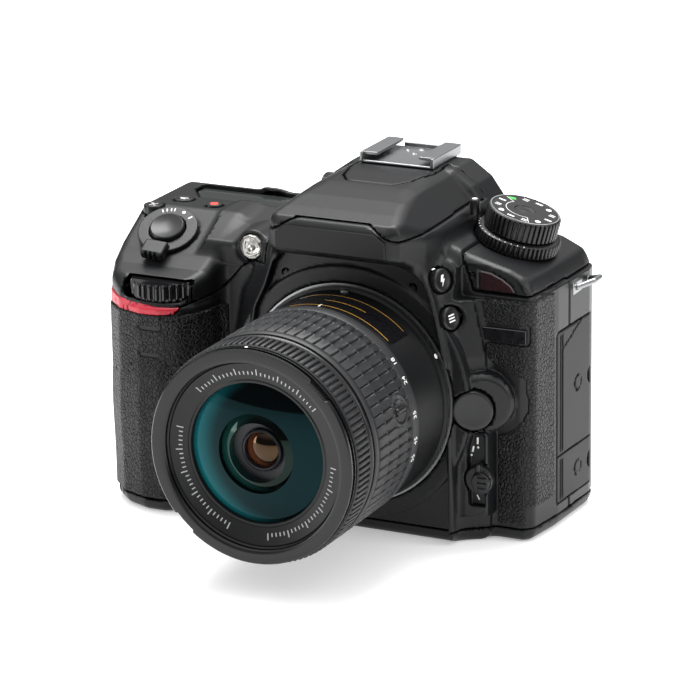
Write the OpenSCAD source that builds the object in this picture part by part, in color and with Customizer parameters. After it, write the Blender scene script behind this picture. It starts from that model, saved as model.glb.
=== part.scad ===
// Single-lens reflex camera with a collapsible kit zoom, in millimetres.
// Origin: mouth of the tripod socket on the base. +Z up, the lens looks along -Y, the grip is at -X.

/* [Body] */
// Distance from the lens axis to the grip side
body_left = 80.5; // [79:0.5:82]
// Distance from the lens axis to the connector side
body_right = 55; // [54:0.5:56]
// Front face of the body, ahead of the tripod socket
body_front = 24; // [23:0.5:25]
// Back face of the body, behind the tripod socket
body_back = 20; // [19.5:0.5:20.5]
// Height of the deck that carries the top display
deck_z = 85; // [84:0.5:86]
// Wall thickness of the moulded covers
wall = 1.8; // [1.5:0.1:2.2]
// Seam between the bottom cover and the others
base_seam = 4; // [3:0.5:5]
// Seam between the main covers and the top cover
top_seam = 74; // [73:0.5:75]

/* [Grip] */
// Front of the grip
grip_front = 43; // [42:0.5:44]
// Inner side of the grip, towards the lens
grip_inner = 46; // [45:0.5:47]
// Seam below the grip's top
grip_seam = 62; // [61:0.5:63]
// Skin thickness of the rubber panels
skin = 1; // [0.8:0.1:1.2]

/* [Viewfinder hump] */
// Half width of the hump
hump_w = 26; // [25:0.5:26]
// Front of the nameplate nose
nose_front = 45; // [44:0.5:46]
// Ledge that the flash head closes on
ledge_z = 94; // [93.5:0.5:94.5]
// Top of the accessory-shoe platform
platform_z = 101.3; // [101:0.1:101.6]
// Flash pivot behind the tripod socket
flash_pivot_y = 4; // [3:0.5:5]
// Flash pivot height
flash_pivot_z = 98; // [97.8:0.1:98.2]

/* [Lens] */
// Height of the lens axis above the base
axis_z = 42.6; // [42:0.1:43]
// Face of the lens mount
flange_y = -34.5; // [-35:0.1:-34]
// Front edge of the retracted lens
lens_front_y = -97; // [-98:0.5:-96]
// Outer radius of the zoom ring
zoom_r = 32.25; // [32:0.05:32.5]
// Inner radius of the filter thread
filter_r = 27.5; // [27:0.5:28]
// Back edge of the zoom ring
zoom_back_y = -54.6; // [-55:0.1:-54]
// Front edge of the zoom ring
zoom_front_y = -83.2; // [-83.4:0.1:-83]

/* [Controls] */
// Tilt of the mode dial towards the connector side
dial_tilt = 15; // [13:1:17]
// Radius of the mode dial
dial_r = 11; // [10.5:0.1:11.2]
// Radius of the release-mode dial
release_r = 12.6; // [12.2:0.1:12.8]
// Forward pitch of the shutter pad
pad_pitch = 31; // [29:1:33]
// Running clearance round shafts and stems
gap = 0.08; // [0.05:0.01:0.1]

/* [Tripod socket] */
// Radius of the 1/4-20 thread
tripod_r = 3.175; // [3.1:0.005:3.3]
// Depth of the thread
tripod_depth = 7; // [6:0.5:7.5]

/* [Hidden] */
$fn = 64;
eps = 0.1;

// Shutter pad: a plane that pitches forward and leans a little towards the lens.
pad_c = [-66.5, -19.1, 80];
pad_lean = 5;
// Reach of the power switch's lever, which turns on a flat of that radius.
switch_reach = 12.8;
// Top centre of the mode dial, and where its stack sits along its tilted axis.
dial_top = [41.2, 0, 93.6];
dial_h = 6.2;
release_h = 3.8;
dial_gap = 0.3;
stack_h = dial_h + release_h + 2 * dial_gap;
// The shoulder's surface under the stack.
shoulder_z = dial_top[2] - (stack_h + dial_gap) / cos(dial_tilt) + dial_top[0] * tan(dial_tilt);
// Front command dial, under the pad, and rear command dial, under the deck.
front_wheel = [-60.5, -32.6, 65.6];
rear_wheel = [-61, 11.2, 66.2];
wheel_h = 5;
front_wheel_r = 10.4;
rear_wheel_r = 10.6;
// Press buttons on the deck: place and radius.
ev_at = [-76.2, -10.2, 84.2];
iso_at = [-70.4, -1.5, deck_z];
record_at = [-58.7, -4.2, deck_z];
deck_button_r = 3.1;
record_r = 2.6;
// Rear screen: hinge lines of the arm and of the panel.
arm_pivot = [19.3, 6];
panel_pivot = [22, 62.3];
lcd_x = [-36, 42];
pocket_x = [-39, 45];
// Doors and covers.
battery_door_x = [-76, -50];
battery_door_y = [-38, -12];
hinge_room = 0.7;
// Hinge pins of the side doors: radius and depth under the outer face.
pin_r = 0.8;
pin_in = 0.85;
card_y = [-12, 15];
card_z = [14, 56];
port_y = [-8.6, 15];
port_split_z = 22;
port_z = [7.5, 60];
// Lens release, focus lever and the two flank buttons.
release_at = [38.2, -31, 41.4];
release_yaw = -20;
lever_at = [40.2, -31, 20.5];
flash_at = [27.5, -29, 78.5];
bracket_at = [30.1, -29, 67.5];
flank_tilt = 13;
flank_button_r = 3.5;
// Rear push buttons, as [x, z] on the back face.
left_column = [for (i = [0:4]) [49.8, 62 - 11.4 * i]];
right_cluster = [[-45, 71], [-62, 26], [-62, 13.5], [-44.5, 68 - 8.5]];
rear_button_r = 2.9;
selector_at = [-57.5, 44];
selector_r = 8.6;
// Thickness of the grip's coloured trim.
trim_t = 0.7;
// Retract button on the zoom ring: place along the axis and angle from the top.
retract_y = -65;
retract_angle = 75;
retract_r = 5;
// Lens radii, from the inside out.
guide_r = [26, 27.8];
barrel_r = 31.5;
rear_tube_r = 22.4;
throat_r = 24;
rear_glass_r = 12.95;
front_glass_r = 20.4;
// Bore behind the filter thread, and where the thread ends.
relief_r = 27.9;
thread_end_y = lens_front_y + 2;

// ---- Helpers ----

// Rounded rectangle from [x0, y0] to [x1, y1].
module plan(x0, x1, y0, y1, r) {
  translate([x0 + r, y0]) square([x1 - x0 - 2 * r, y1 - y0]);
  translate([x0, y0 + r]) square([x1 - x0, y1 - y0 - 2 * r]);
  for (x = [x0 + r, x1 - r], y = [y0 + r, y1 - r]) translate([x, y]) circle(r);
}

// Upright block with rounded vertical edges.
module block(x0, x1, y0, y1, z0, z1, r) {
  translate([0, 0, z0]) linear_extrude(z1 - z0) plan(x0, x1, y0, y1, r);
}

// Plain box between two corners.
module box(a, b) {
  translate(a) cube(b - a);
}

// A Y-Z outline extruded along X.
module along_x(x0, x1) {
  translate([x0, 0, 0]) rotate([90, 0, 90]) linear_extrude(x1 - x0) children();
}

// An X-Z outline extruded along Y.
module along_y(y0, y1) {
  translate([0, y1, 0]) rotate([90, 0, 0]) linear_extrude(y1 - y0) children();
}

// Cylinder along Y between y0 and y1.
module rod_y(x, z, r, y0, y1) {
  translate([x, y1, z]) rotate([90, 0, 0]) cylinder(r = r, h = y1 - y0);
}

// Cylinder along X between x0 and x1.
module rod_x(y, z, r, x0, x1) {
  translate([x0, y, z]) rotate([0, 90, 0]) cylinder(r = r, h = x1 - x0);
}

// Ring on the lens axis: outer and inner radius, from y0 (front) to y1 (back).
module lens_tube(ro, ri, y0, y1) {
  difference() {
    rod_y(0, axis_z, ro, y0, y1);
    rod_y(0, axis_z, ri, y0 - 1, y1 + 1);
  }
}

// Half section of a plano-convex lens: rim radius, rim height and the dome's rise.
function dome(r, rim, rise) = let (big = (r * r + rise * rise) / (2 * rise), sweep = asin(r / big))
  concat([[0, 0], [r, 0]], [for (i = [0:8]) let (a = sweep * (1 - i / 8))
    [big * sin(a), rim + rise - big * (1 - cos(a))]]);

// Frames of the tilted controls.
module at_pad() {
  translate(pad_c) rotate([pad_pitch, 0, 0]) rotate([0, pad_lean, 0]) children();
}

module at_dial() {
  translate(dial_top) rotate([0, dial_tilt, 0]) children();
}

module at_release() {
  translate(release_at) rotate([0, 0, release_yaw]) rotate([90, 0, 0]) children();
}

module at_flank(place) {
  translate(place) rotate([0, 90 - flank_tilt, 0]) children();
}

module at_retract() {
  translate([0, retract_y, axis_z]) rotate([0, retract_angle, 0]) children();
}

// Round push button with a stem: cap from z0 to z1, stem below it.
module push_button(r, z0, z1, stem_r, stem_len) {
  translate([0, 0, z0]) cylinder(r = r, h = z1 - z0);
  translate([0, 0, z0 - stem_len]) cylinder(r = stem_r, h = stem_len + eps);
}

// Grooved wheel or dial rim.
module knurled(r, h, n, depth) {
  difference() {
    cylinder(r = r, h = h);
    for (i = [0:n - 1]) rotate(i * 360 / n) translate([r, 0, -1]) cylinder(r = depth, h = h + 2, $fn = 4);
  }
}

// ---- Covers ----

// The main slab of the body, inset by d, between two Y planes.
module slab(d, z0, z1, y0, y1) {
  intersection() {
    block(-body_left + d, body_right - d, -body_front + d, body_back - d, z0, z1, 5);
    box([-100, y0, z0 - 1], [100, y1, z1 + 1]);
  }
}

// The grip's upright part, inset by d.
module grip_block(d, z0, z1, back) {
  block(-body_left + d, -grip_inner - d, -grip_front + d, back, z0, z1, 11 - d);
}

// Outline of the block that carries the lens mount, inset by d.
module mount_outline(d, low) {
  polygon([[-33 + d, low], [36 - d, low], [35 - d, 30], [32.5 - d, 56], [hump_w - d, 84 - d],
    [-hump_w + d, 84 - d], [-31.5 + d, 58], [-33 + d, 44]]);
}

// Hole for a round push button's cap and stem, along its own axis.
module button_well(r, deep, stem_r) {
  translate([0, 0, -deep]) cylinder(r = r + 2 * gap, h = deep + 5);
  translate([0, 0, -30]) cylinder(r = stem_r + gap, h = 30);
}

// Openings that both main covers share: the card door and the two port covers.
module side_openings() {
  box([-body_left - 2, card_y[0] - gap, card_z[0] - gap], [-body_left + 2.5, card_y[1] + gap, card_z[1] + gap]);
  box([body_right - 3, port_y[0] - gap, port_z[0] - gap], [body_right + 1, port_y[1] + gap, port_z[1] + gap]);
}

module front_cover() color([0.10, 0.10, 0.11]) {
  difference() {
    union() {
      difference() {
        union() {
          slab(0, base_seam, top_seam, -50, 0);
          grip_block(0, base_seam, grip_seam, -10);
          along_y(-33, -body_front) mount_outline(0, base_seam);
        }
        slab(wall, base_seam - 1, top_seam + 1, -50, 1);
        grip_block(wall, base_seam - 1, grip_seam + 1, -8);
        along_y(-33 + wall, -19) mount_outline(wall, base_seam - 1);
      }
      // Housing of the lens release and of the focus lever.
      rod_y(40.2, 42, 8, -31, -body_front + eps);
      box([34, -29.4, 9], [44.6, -body_front + eps, 31]);
    }
    // The grip's top belongs to the top cover.
    box([-100, -50, grip_seam], [-grip_inner + wall, 1, top_seam + 1]);
    rod_y(0, axis_z, throat_r, -40, -30);
    at_release() button_well(6, 4, 2);
    rod_y(lever_at[0], lever_at[2], 2 + gap, -32, -20);
    for (b = [flash_at, bracket_at]) at_flank(b) button_well(flank_button_r, 3.2, 1.5);
    // Room for the pentaprism behind the mount block's roof.
    box([-hump_w + wall, -23, 80], [hump_w - wall, -19, 90]);
    for (x = [-20.3, 20.3]) rod_y(x, 76.5, 1.5, -34, -30);
    side_openings();
  }
}

module rear_cover() color([0.10, 0.10, 0.11]) {
  difference() {
    union() {
      difference() {
        slab(0, base_seam, top_seam, 0, 50);
        slab(wall, base_seam - 1, top_seam + 1, -1, 50);
      }
      // Floor and frame of the screen's pocket.
      box([pocket_x[0] - 2, 15.8, base_seam], [pocket_x[1] + 2, body_back - 1, 68]);
    }
    box([pocket_x[0], 17.6, base_seam - 1], [pocket_x[1], body_back + 1, 66]);
    rod_x(arm_pivot[0], arm_pivot[1], 1 + gap, pocket_x[0] - 1.4, pocket_x[1] + 1.4);
    translate([rear_wheel[0], rear_wheel[1], rear_wheel[2] - 0.4]) cylinder(r = rear_wheel_r + 0.4, h = wheel_h + 0.8);
    for (p = concat(left_column, right_cluster)) rod_y(p[0], p[1], rear_button_r + gap, 10, body_back + 1);
    rod_y(selector_at[0], selector_at[1], 3, 10, body_back + 1);
    side_openings();
  }
}

// Side outline of the deck and of the grip's top, inset by d.
module deck_outline(d) {
  polygon([[body_back - d, top_seam], [body_back - d, deck_z - d], [-10.4, deck_z - d],
    [-31 - d * 0.3, 72.6 - d], [-37, 71.8 - d], [-40.6 + d, 70.2 - d * 0.5], [-grip_front + d, 65.5],
    [-grip_front + d, grip_seam], [0, grip_seam], [0, top_seam]]);
}

// Side outline of the fixed part of the hump, inset by d.
module hump_outline(d) {
  polygon([[body_back - d, top_seam], [body_back - d, 97], [body_back - 3 - d, 99.6 - d], [12, platform_z - d],
    [flash_pivot_y + 4.3 + d, platform_z - d], [flash_pivot_y + 4.3 + d, ledge_z - d],
    [-nose_front + d, ledge_z - d], [-nose_front + d, 87 + d], [-36, 84 + d], [-body_front + d, 84 + d],
    [-body_front + d, top_seam]]);
}

// Front outline of the shoulder under the mode dial, inset by d.
module shoulder_outline(d) {
  polygon([[hump_w - 1, top_seam], [hump_w - 1, shoulder_z - (hump_w - 1) * tan(dial_tilt) - d],
    [51.5 - d, shoulder_z - 51.5 * tan(dial_tilt) - d], [body_right - d, 75.5], [body_right - d, top_seam]]);
}

module top_cover() color([0.11, 0.11, 0.12]) {
  difference() {
    union() {
      difference() {
        union() {
          intersection() {
            along_x(-body_left, -hump_w + 1) deck_outline(0);
            union() {
              slab(0, top_seam, 100, -50, 50);
              intersection() {
                slab(0, grip_seam, 100, -50, 0);
                box([-100, -50, 0], [-grip_inner + wall, 0, 100]);
              }
              grip_block(0, grip_seam, 100, 0);
            }
          }
          along_x(-hump_w, hump_w) hump_outline(0);
          intersection() {
            along_y(-body_front, body_back) shoulder_outline(0);
            slab(0, top_seam, 100, -50, 50);
          }
        }
        intersection() {
          along_x(-body_left + wall, -hump_w) deck_outline(wall);
          union() {
            slab(wall, grip_seam - 1, 100, -50, 50);
            grip_block(wall, grip_seam - 1, 100, 0);
          }
        }
        along_x(-hump_w + wall, hump_w - wall) hump_outline(wall);
        intersection() {
          along_y(-body_front + wall, body_back - wall) shoulder_outline(wall);
          slab(wall, top_seam - 1, 100, -50, 50);
        }
        box([-body_left + wall, -20, grip_seam - 1], [-hump_w + 2, body_back - wall, top_seam + 1]);
      }
      // Fixed tongue ahead of the shoe, with the flash head's trunnions.
      box([-13, -10, ledge_z - eps], [13, flash_pivot_y + 4.4, platform_z]);
      rod_x(flash_pivot_y, flash_pivot_z, 1.2, -22, 22);
      // Index block over the release dial.
      box([hump_w - 2, -7, 91.6], [28.8, -1, ledge_z]);
      // Diopter boss on the hump's grip side.
      rod_x(14, 90, 4.4, -hump_w - 1, -hump_w + 1);
    }
    at_pad() button_well(5.3, 2, 2);
    at_pad() cylinder(r = switch_reach, h = 6);
    translate(ev_at) button_well(deck_button_r, 1.6, 1.4);
    translate(iso_at) button_well(deck_button_r, 1.6, 1.4);
    translate(record_at) button_well(record_r, 1.6, 1.4);
    translate([27, -4, ledge_z]) cylinder(r = 1.5 + gap, h = 7, center = true);
    at_dial() translate([0, 0, -stack_h - 12]) cylinder(r = 3.5 + gap, h = 14);
    translate([front_wheel[0], front_wheel[1], front_wheel[2] - 0.4]) cylinder(r = front_wheel_r + 0.4, h = wheel_h + 0.8);
    box([-74.6, 2, deck_z - 1], [-44, 18, deck_z + 1]);
    rod_y(-35.6, 80, 3.6, -25, -22.8);
    box([37, -25, 75.6], [47.4, -23.2, 79.6]);
    box([-12, 15, 75], [12, 25, 87]);
    rod_x(14, 90, 1.5 + gap, -hump_w - 3, -hump_w + 4);
  }
}

module bottom_cover() color([0.10, 0.10, 0.11]) {
  difference() {
    union() {
      slab(0, 0, base_seam, -50, 50);
      grip_block(0, 0, base_seam, -10);
      block(-33, 36, -33, -15, 0, base_seam, 4);
    }
    slab(wall, wall, base_seam + 1, -50, 50);
    grip_block(wall, wall, base_seam + 1, -8);
    block(-33 + wall, 36 - wall, -33 + wall, -10, wall, base_seam + 1, 4 - wall);
    // The opening is wider at the hinge, where the door's edge swings past it.
    box([battery_door_x[0] - gap, battery_door_y[0] - gap, -1], [battery_door_x[1] + hinge_room, battery_door_y[1] + gap, 5]);
    translate([0, 0, -1]) cylinder(r = 8, h = 6);
    for (p = screw_places()) translate([p[0], p[1], -1]) cylinder(r = 1.2, h = 4);
    for (p = screw_places()) translate([p[0], p[1], -1]) cylinder(r = 2.4, h = 2);
  }
}

// Bottom screws, clear of the battery door.
function screw_places() = [[-44, 12], [-20, -26], [22, -26], [45, -14], [45, 12], [-72, 10]];

// ---- Skins and trim ----

module grip_rubber() color([0.07, 0.07, 0.075]) {
  difference() {
    union() {
      block(-body_left - skin, -grip_inner + skin, -grip_front - skin, -12.4, base_seam + 0.5, grip_seam - 0.3, 11);
    }
    grip_block(0, base_seam, grip_seam, 5);
    box([-grip_inner - 12, -body_front, 0], [-30, 0, 100]);
    box([-body_left + 4, -30, 0], [-50, 0, 100]);
  }
}

module side_rubber() color([0.07, 0.07, 0.075]) {
  difference() {
    block(36.6, body_right + skin, -body_front - skin, 0, base_seam + 1, top_seam - 0.6, 4.6);
    slab(0, 0, 100, -50, 50);
    box([30, -26, 60.4], [53, -20, 65.6]);
    box([30, -30, 0], [45.4, -10, 52.2]);
    box([40, -34, 31], [49.5, -10, 52.2]);
    box([50, port_y[0] - 1.5, 0], [60, 1, 100]);
  }
}

module thumb_rubber() color([0.07, 0.07, 0.075]) {
  difference() {
    block(-body_left + 5.2, -41.6, body_back + 0.02, body_back + skin + 0.4, 8, 58, 0.6);
    rod_y(selector_at[0], selector_at[1], selector_r + 1.2, 10, 30);
    for (p = right_cluster) rod_y(p[0], p[1], rear_button_r + 1, 10, 30);
  }
}

module grip_trim() color([0.62, 0.06, 0.10]) {
  difference() {
    block(-body_left - trim_t, -grip_inner + trim_t, -grip_front - trim_t, 0, grip_seam + 0.1, 65, 11 + trim_t);
    grip_block(0, 0, 100, 5);
    box([-52.5, -60, 0], [-30, 5, 100]);
    box([-100, -28, 0], [-30, 5, 100]);
  }
}

module badge_plate() color([0.13, 0.13, 0.14]) box([38.6, -body_front - 0.9, 60.6], [52.4, -body_front - 0.02, 65.4]);

module ir_window() color([0.06, 0.03, 0.04]) box([37.1, -24.4, 75.7], [47.3, -23.25, 79.5]);

module af_lamp() color([0.75, 0.72, 0.66]) rod_y(-35.6, 80, 3.5, -25.2, -22.85);

module top_display() color([0.16, 0.18, 0.17]) box([-74.5, 2.1, deck_z - 0.95], [-44.1, 17.9, deck_z - 0.2]);

// Screws: heads in the bottom cover and in the face of the mount block.
module screw(head_r, head_h, shank_r, len) {
  difference() {
    union() {
      cylinder(r = head_r, h = head_h);
      translate([0, 0, head_h - eps]) cylinder(r = shank_r, h = len);
    }
    for (a = [0, 90]) rotate(a) translate([-head_r * 0.6, -0.25, -eps]) cube([head_r * 1.2, 0.5, head_h * 0.5]);
  }
}

module cover_screws() color([0.2, 0.2, 0.21]) {
  for (p = screw_places()) translate([p[0], p[1], 0.2]) screw(2.3, 0.75, 1.15, 2.6);
  for (x = [-20.3, 20.3]) translate([x, -32.9, 76.5]) rotate([-90, 0, 0]) screw(1.45, 0.9, 1, 1.6);
}

// ---- Fixed optics, electronics and hardware ----

module mirror_box() color([0.12, 0.12, 0.12]) {
  difference() {
    box([-21.5, -28.6, 17], [21.5, 4, 64]);
    box([-19.5, -30, 19], [19.5, 10, 59.6]);
    box([-14.5, -24.5, 50], [14.5, -1.5, 70]);
    rod_y(0, axis_z, 22.9, -40, -25.5);
    rod_x(2.2, 57.4, 0.9 + gap, -20.8, 20.8);
  }
}

module focusing_screen() color([0.8, 0.82, 0.84]) box([-14.4, -24.4, 61], [14.4, -1.6, 62.4]);

module pentaprism() color([0.55, 0.6, 0.65]) {
  along_x(-14, 14) polygon([[-20, 64.2], [2, 64.2], [9, 74], [9, 86], [-2, 91], [-14, 90], [-21.5, 80]]);
}

module eyepiece_lens() color([0.6, 0.68, 0.72]) {
  translate([0, 9.4, 80.5]) rotate([-90, 0, 0]) rotate_extrude() polygon(dome(9, 2.8, 1.6));
}

module eyecup() color([0.06, 0.06, 0.06]) {
  difference() {
    union() {
      along_y(body_back + 0.05, 24) plan(-17, 17, 69.5, 91.5, 5);
      along_y(23.9, 28.5) plan(-18.5, 18.5, 68.5, 92.5, 7);
    }
    along_y(19, 30) plan(-11.5, 11.5, 73.5, 87.5, 3);
    along_y(24.4, 30) plan(-14, 14, 72, 89, 4);
  }
}

module shutter_unit() color([0.16, 0.16, 0.17]) {
  difference() {
    box([-24, 4.2, 20], [24, 8, 62]);
    box([-12.5, 3, axis_z - 8.6], [12.5, 5, axis_z + 8.6]);
    box([-12.5, 7, axis_z - 8.6], [12.5, 9, axis_z + 8.6]);
  }
}

module image_sensor() color([0.18, 0.30, 0.28]) {
  box([-12, 11, axis_z - 8], [12, 12.05, axis_z + 8]);
  box([-18, 12, axis_z - 14], [18, 14, axis_z + 14]);
}

module main_board() color([0.05, 0.30, 0.16]) {
  box([47.6, -7, 9], [49, 13, 58]);
  for (z = [48, 38, 27]) box([48.9, -3, z], [52.6, 7, z + 5]);
  for (z = [13.5]) box([48.9, -4, z - 3], [52.6, 8, z + 3]);
}

module battery() color([0.14, 0.14, 0.15]) block(-74, -54, -37, 2.5, 3, 58.5, 2);

module tripod_socket() color([0.72, 0.72, 0.74]) {
  difference() {
    union() {
      cylinder(r = 7.9, h = 2.4);
      cylinder(r = 6, h = 9);
    }
    translate([0, 0, -1]) cylinder(r = tripod_r, h = tripod_depth + 1);
  }
}

module mount_ring() color([0.78, 0.78, 0.80]) {
  difference() {
    union() {
      lens_tube(33.2, 22.5, flange_y, -33.02);
      lens_tube(throat_r - 0.05, 22.5, -33.1, -31.2);
    }
    for (a = [45:90:315]) translate([27.5 * cos(a), 0, axis_z + 27.5 * sin(a)]) rod_y(0, 0, 1.4, -36, -33.7);
  }
}

module strap_lug(side, x) {
  difference() {
    union() {
      box([min(x, x + side * 5.4), 2, 69.8], [max(x, x + side * 5.4), 14, 71.4]);
      box([min(x, x + side * 1.2), 1, 68.4], [max(x, x + side * 1.2), 15, 72.8]);
    }
    box([min(x + side * 2.2, x + side * 4.4), 3.4, 69], [max(x + side * 2.2, x + side * 4.4), 12.6, 72.4]);
  }
}

module strap_lugs() color([0.55, 0.55, 0.57]) {
  strap_lug(1, body_right + 0.02);
  strap_lug(-1, -body_left - 0.02);
}

module hot_shoe() color([0.80, 0.80, 0.82]) {
  z0 = platform_z + 0.02;
  difference() {
    box([-12.4, 0, z0], [12.4, 18, z0 + 3.2]);
    box([-9.3, -1, z0 + 0.6], [9.3, 16.4, z0 + 2.6]);
    box([-6.4, -1, z0 + 2], [6.4, 16.4, z0 + 4]);
  }
}

// ---- Mirrors ----

mirror_pivot = [2.2, 57.4];
mirror_len = 31;
mirror_angle = 45;

module main_mirror() color([0.82, 0.84, 0.86]) {
  translate([0, mirror_pivot[0], mirror_pivot[1]]) rotate([mirror_angle, 0, 0]) {
    difference() {
      union() {
        box([-15, -mirror_len, -0.9], [15, -1.2, 0.9]);
        rotate([0, 90, 0]) cylinder(r = 0.9, h = 41.4, center = true);
        box([-14, -2, -0.6], [14, 0, 0.6]);
      }
      // Recess on the back for the sub-mirror.
      box([-9.4, -24, -2], [9.4, -9, -0.1]);
    }
    for (x = [-12.2, 10.2]) difference() {
      box([x, -13, -2.2], [x + 2, -9, -0.8]);
      rod_x(-11, -1.5, 0.4 + gap / 2, x - 1, x + 3);
    }
  }
}

module sub_mirror() color([0.75, 0.77, 0.80]) {
  translate([0, mirror_pivot[0], mirror_pivot[1]]) rotate([mirror_angle, 0, 0]) translate([0, -11, -1.5])
    rotate([88, 0, 0]) {
      box([-8.6, -10.5, -0.35], [8.6, 0, 0.35]);
      rotate([0, 90, 0]) cylinder(r = 0.4, h = 24, center = true);
    }
}

// ---- Flash head ----

module flash_outline(d) {
  polygon([[flash_pivot_y, ledge_z + 0.2 + d], [-nose_front + 0.6 + d, ledge_z + 0.2 + d],
    [-nose_front + 0.6 + d, 95.4], [-40, 98.6 - d], [-30, 100.8 - d], [-14, 101.8 - d], [flash_pivot_y, flash_pivot_z + 3.8 - d]]);
}

module flash_head() color([0.11, 0.11, 0.12]) {
  arm = 24.5;
  difference() {
    union() {
      difference() {
        along_x(-arm, arm) flash_outline(0);
        // Hollow nose, open at the back towards the tongue.
        along_x(-arm + wall, arm - wall) polygon([[-10, ledge_z + 2], [-41.5, ledge_z + 2],
          [-38, 97.6], [-30, 99], [-10, 100]]);
      }
      rod_x(flash_pivot_y, flash_pivot_z, 3.6, -arm, arm);
    }
    box([-13.2, -10.4, 90], [13.2, 20, 110]);
    rod_x(flash_pivot_y, flash_pivot_z, 1.2 + gap, -22.3, 22.3);
    // Window of the flash tube, in the underside of the nose.
    box([-17, -40, 90], [17, -31, ledge_z + 1.4]);
  }
}

// ---- Doors and covers ----

module battery_door() color([0.10, 0.10, 0.11]) {
  box([battery_door_x[0], battery_door_y[0], 0.2], [battery_door_x[1] - 1.1, battery_door_y[1], 1.9]);
  rod_y(battery_door_x[1] - 1.1, 1.6, 1, battery_door_y[0], battery_door_y[1]);
}

module card_door() color([0.09, 0.09, 0.10]) {
  box([-body_left, card_y[0] + pin_in, card_z[0]], [-body_left + 1.7, card_y[1], card_z[1]]);
  translate([-body_left + pin_in, card_y[0] + pin_in, card_z[0]]) cylinder(r = pin_r, h = card_z[1] - card_z[0]);
}

// Soft cover of the connectors, with a moulded pull tab line.
module port_cover(z0, z1) {
  difference() {
    union() {
      box([body_right - 1.7, port_y[0] + pin_in, z0], [body_right, port_y[1], z1]);
      translate([body_right - pin_in, port_y[0] + pin_in, z0]) cylinder(r = pin_r, h = z1 - z0);
    }
    box([body_right - 0.4, port_y[0] + 2, z0 + 1.6], [body_right + 1, port_y[0] + 2.6, z1 - 1.6]);
  }
}

module port_cover_upper() color([0.12, 0.12, 0.13]) port_cover(port_split_z + 0.1, port_z[1]);

module port_cover_lower() color([0.12, 0.12, 0.13]) port_cover(port_z[0], port_split_z - 0.1);

// ---- Rear screen ----

module lcd_arm() color([0.12, 0.12, 0.13]) {
  box([-36.5, 17.9, arm_pivot[1] - 0.6], [42.5, 19.3, 58]);
  rod_x(arm_pivot[0], arm_pivot[1], 1, pocket_x[0] - 1.2, pocket_x[1] + 1.2);
  for (x = [lcd_x[0] - 2.4, lcd_x[1] + 0.4]) difference() {
    along_x(x, x + 2) polygon([[17.9, 50], [19.3, 50], [24, 60], [24, 64.3], [20.2, 64.3], [17.9, 60]]);
    rod_x(panel_pivot[0], panel_pivot[1], 0.9 + gap, x - 1, x + 3);
  }
}

module lcd_panel() color([0.05, 0.05, 0.055]) {
  difference() {
    along_y(19.6, 25) plan(lcd_x[0], lcd_x[1], 8.5, 63.9, 2.5);
    along_y(24.6, 26) plan(lcd_x[0] + 6, lcd_x[1] - 6, 11.5, 61, 1);
  }
  along_y(24.3, 24.9) plan(lcd_x[0] + 6.1, lcd_x[1] - 6.1, 11.6, 60.9, 1);
  rod_x(panel_pivot[0], panel_pivot[1], 0.9, lcd_x[0] - 2.2, lcd_x[1] + 2.2);
}

// ---- Buttons ----

module shutter_button() color([0.3, 0.3, 0.31]) at_pad() {
  difference() {
    push_button(5.3, -0.4, 2.9, 2, 7);
    translate([0, 0, 26.5]) sphere(r = 24);
  }
}

module power_switch() color([0.12, 0.12, 0.13]) at_pad() {
  difference() {
    union() {
      translate([0, 0, 0.15]) cylinder(r = 9.2, h = 1.7);
      translate([-3.6, -12.2, 0.15]) cube([7.2, 6, 3.4]);
    }
    translate([0, 0, -1]) cylinder(r = 5.6, h = 6);
  }
}

module ev_button() color([0.13, 0.13, 0.14]) translate(ev_at) push_button(deck_button_r, -0.2, 1.6, 1.4, 4);

module iso_button() color([0.13, 0.13, 0.14]) translate(iso_at) push_button(deck_button_r, -0.2, 0.9, 1.4, 4);

module record_button() color([0.13, 0.13, 0.14]) translate(record_at) push_button(record_r, -0.2, 1.1, 1.4, 4);

module dial_lock_button() color([0.13, 0.13, 0.14]) translate([27, -4, ledge_z - 2.2]) cylinder(r = 1.5, h = 4.6);

module lens_release_button() color([0.10, 0.10, 0.11]) at_release() push_button(6, -1.4, 1.6, 2, 5);

module flash_button() color([0.12, 0.12, 0.13]) at_flank(flash_at) push_button(flank_button_r, -2.2, 0.9, 1.5, 3);

module bracket_button() color([0.12, 0.12, 0.13]) at_flank(bracket_at) push_button(flank_button_r, -2.2, 0.9, 1.5, 3);

module rear_buttons() color([0.12, 0.12, 0.13]) {
  for (p = concat(left_column, right_cluster)) rod_y(p[0], p[1], rear_button_r, 17, body_back + 1.6);
}

module multi_selector() color([0.12, 0.12, 0.13]) {
  rod_y(selector_at[0], selector_at[1], selector_r, body_back + 0.9, body_back + 3);
  rod_y(selector_at[0], selector_at[1], 2.4, 15, body_back + 1);
  rod_x(16.5, selector_at[1], 1.5, selector_at[0] - 2.6, selector_at[0] + 2.6);
}

module retract_button() color([0.12, 0.12, 0.13]) {
  intersection() {
    at_retract() translate([0, 0, 29]) cylinder(r = retract_r, h = 5);
    lens_tube(33.2, 30.2, -80, -50);
  }
}

// ---- Dials, levers and wheels ----

module mode_dial() color([0.11, 0.11, 0.12]) at_dial() {
  translate([0, 0, -dial_h]) knurled(dial_r, dial_h, 44, 0.45);
  translate([0, 0, -stack_h - 6]) cylinder(r = 2.6, h = stack_h + 6 - dial_h + eps);
}

module release_dial() color([0.10, 0.10, 0.11]) at_dial() {
  difference() {
    union() {
      translate([0, 0, -stack_h + dial_gap]) knurled(release_r, release_h, 54, 0.4);
      translate([0, 0, -stack_h - 6]) cylinder(r = 3.5, h = 6.4);
    }
    translate([0, 0, -stack_h - 8]) cylinder(r = 2.6 + gap, h = 20);
  }
}

module front_dial() color([0.09, 0.09, 0.10]) translate(front_wheel) knurled(front_wheel_r, wheel_h, 30, 0.6);

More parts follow.
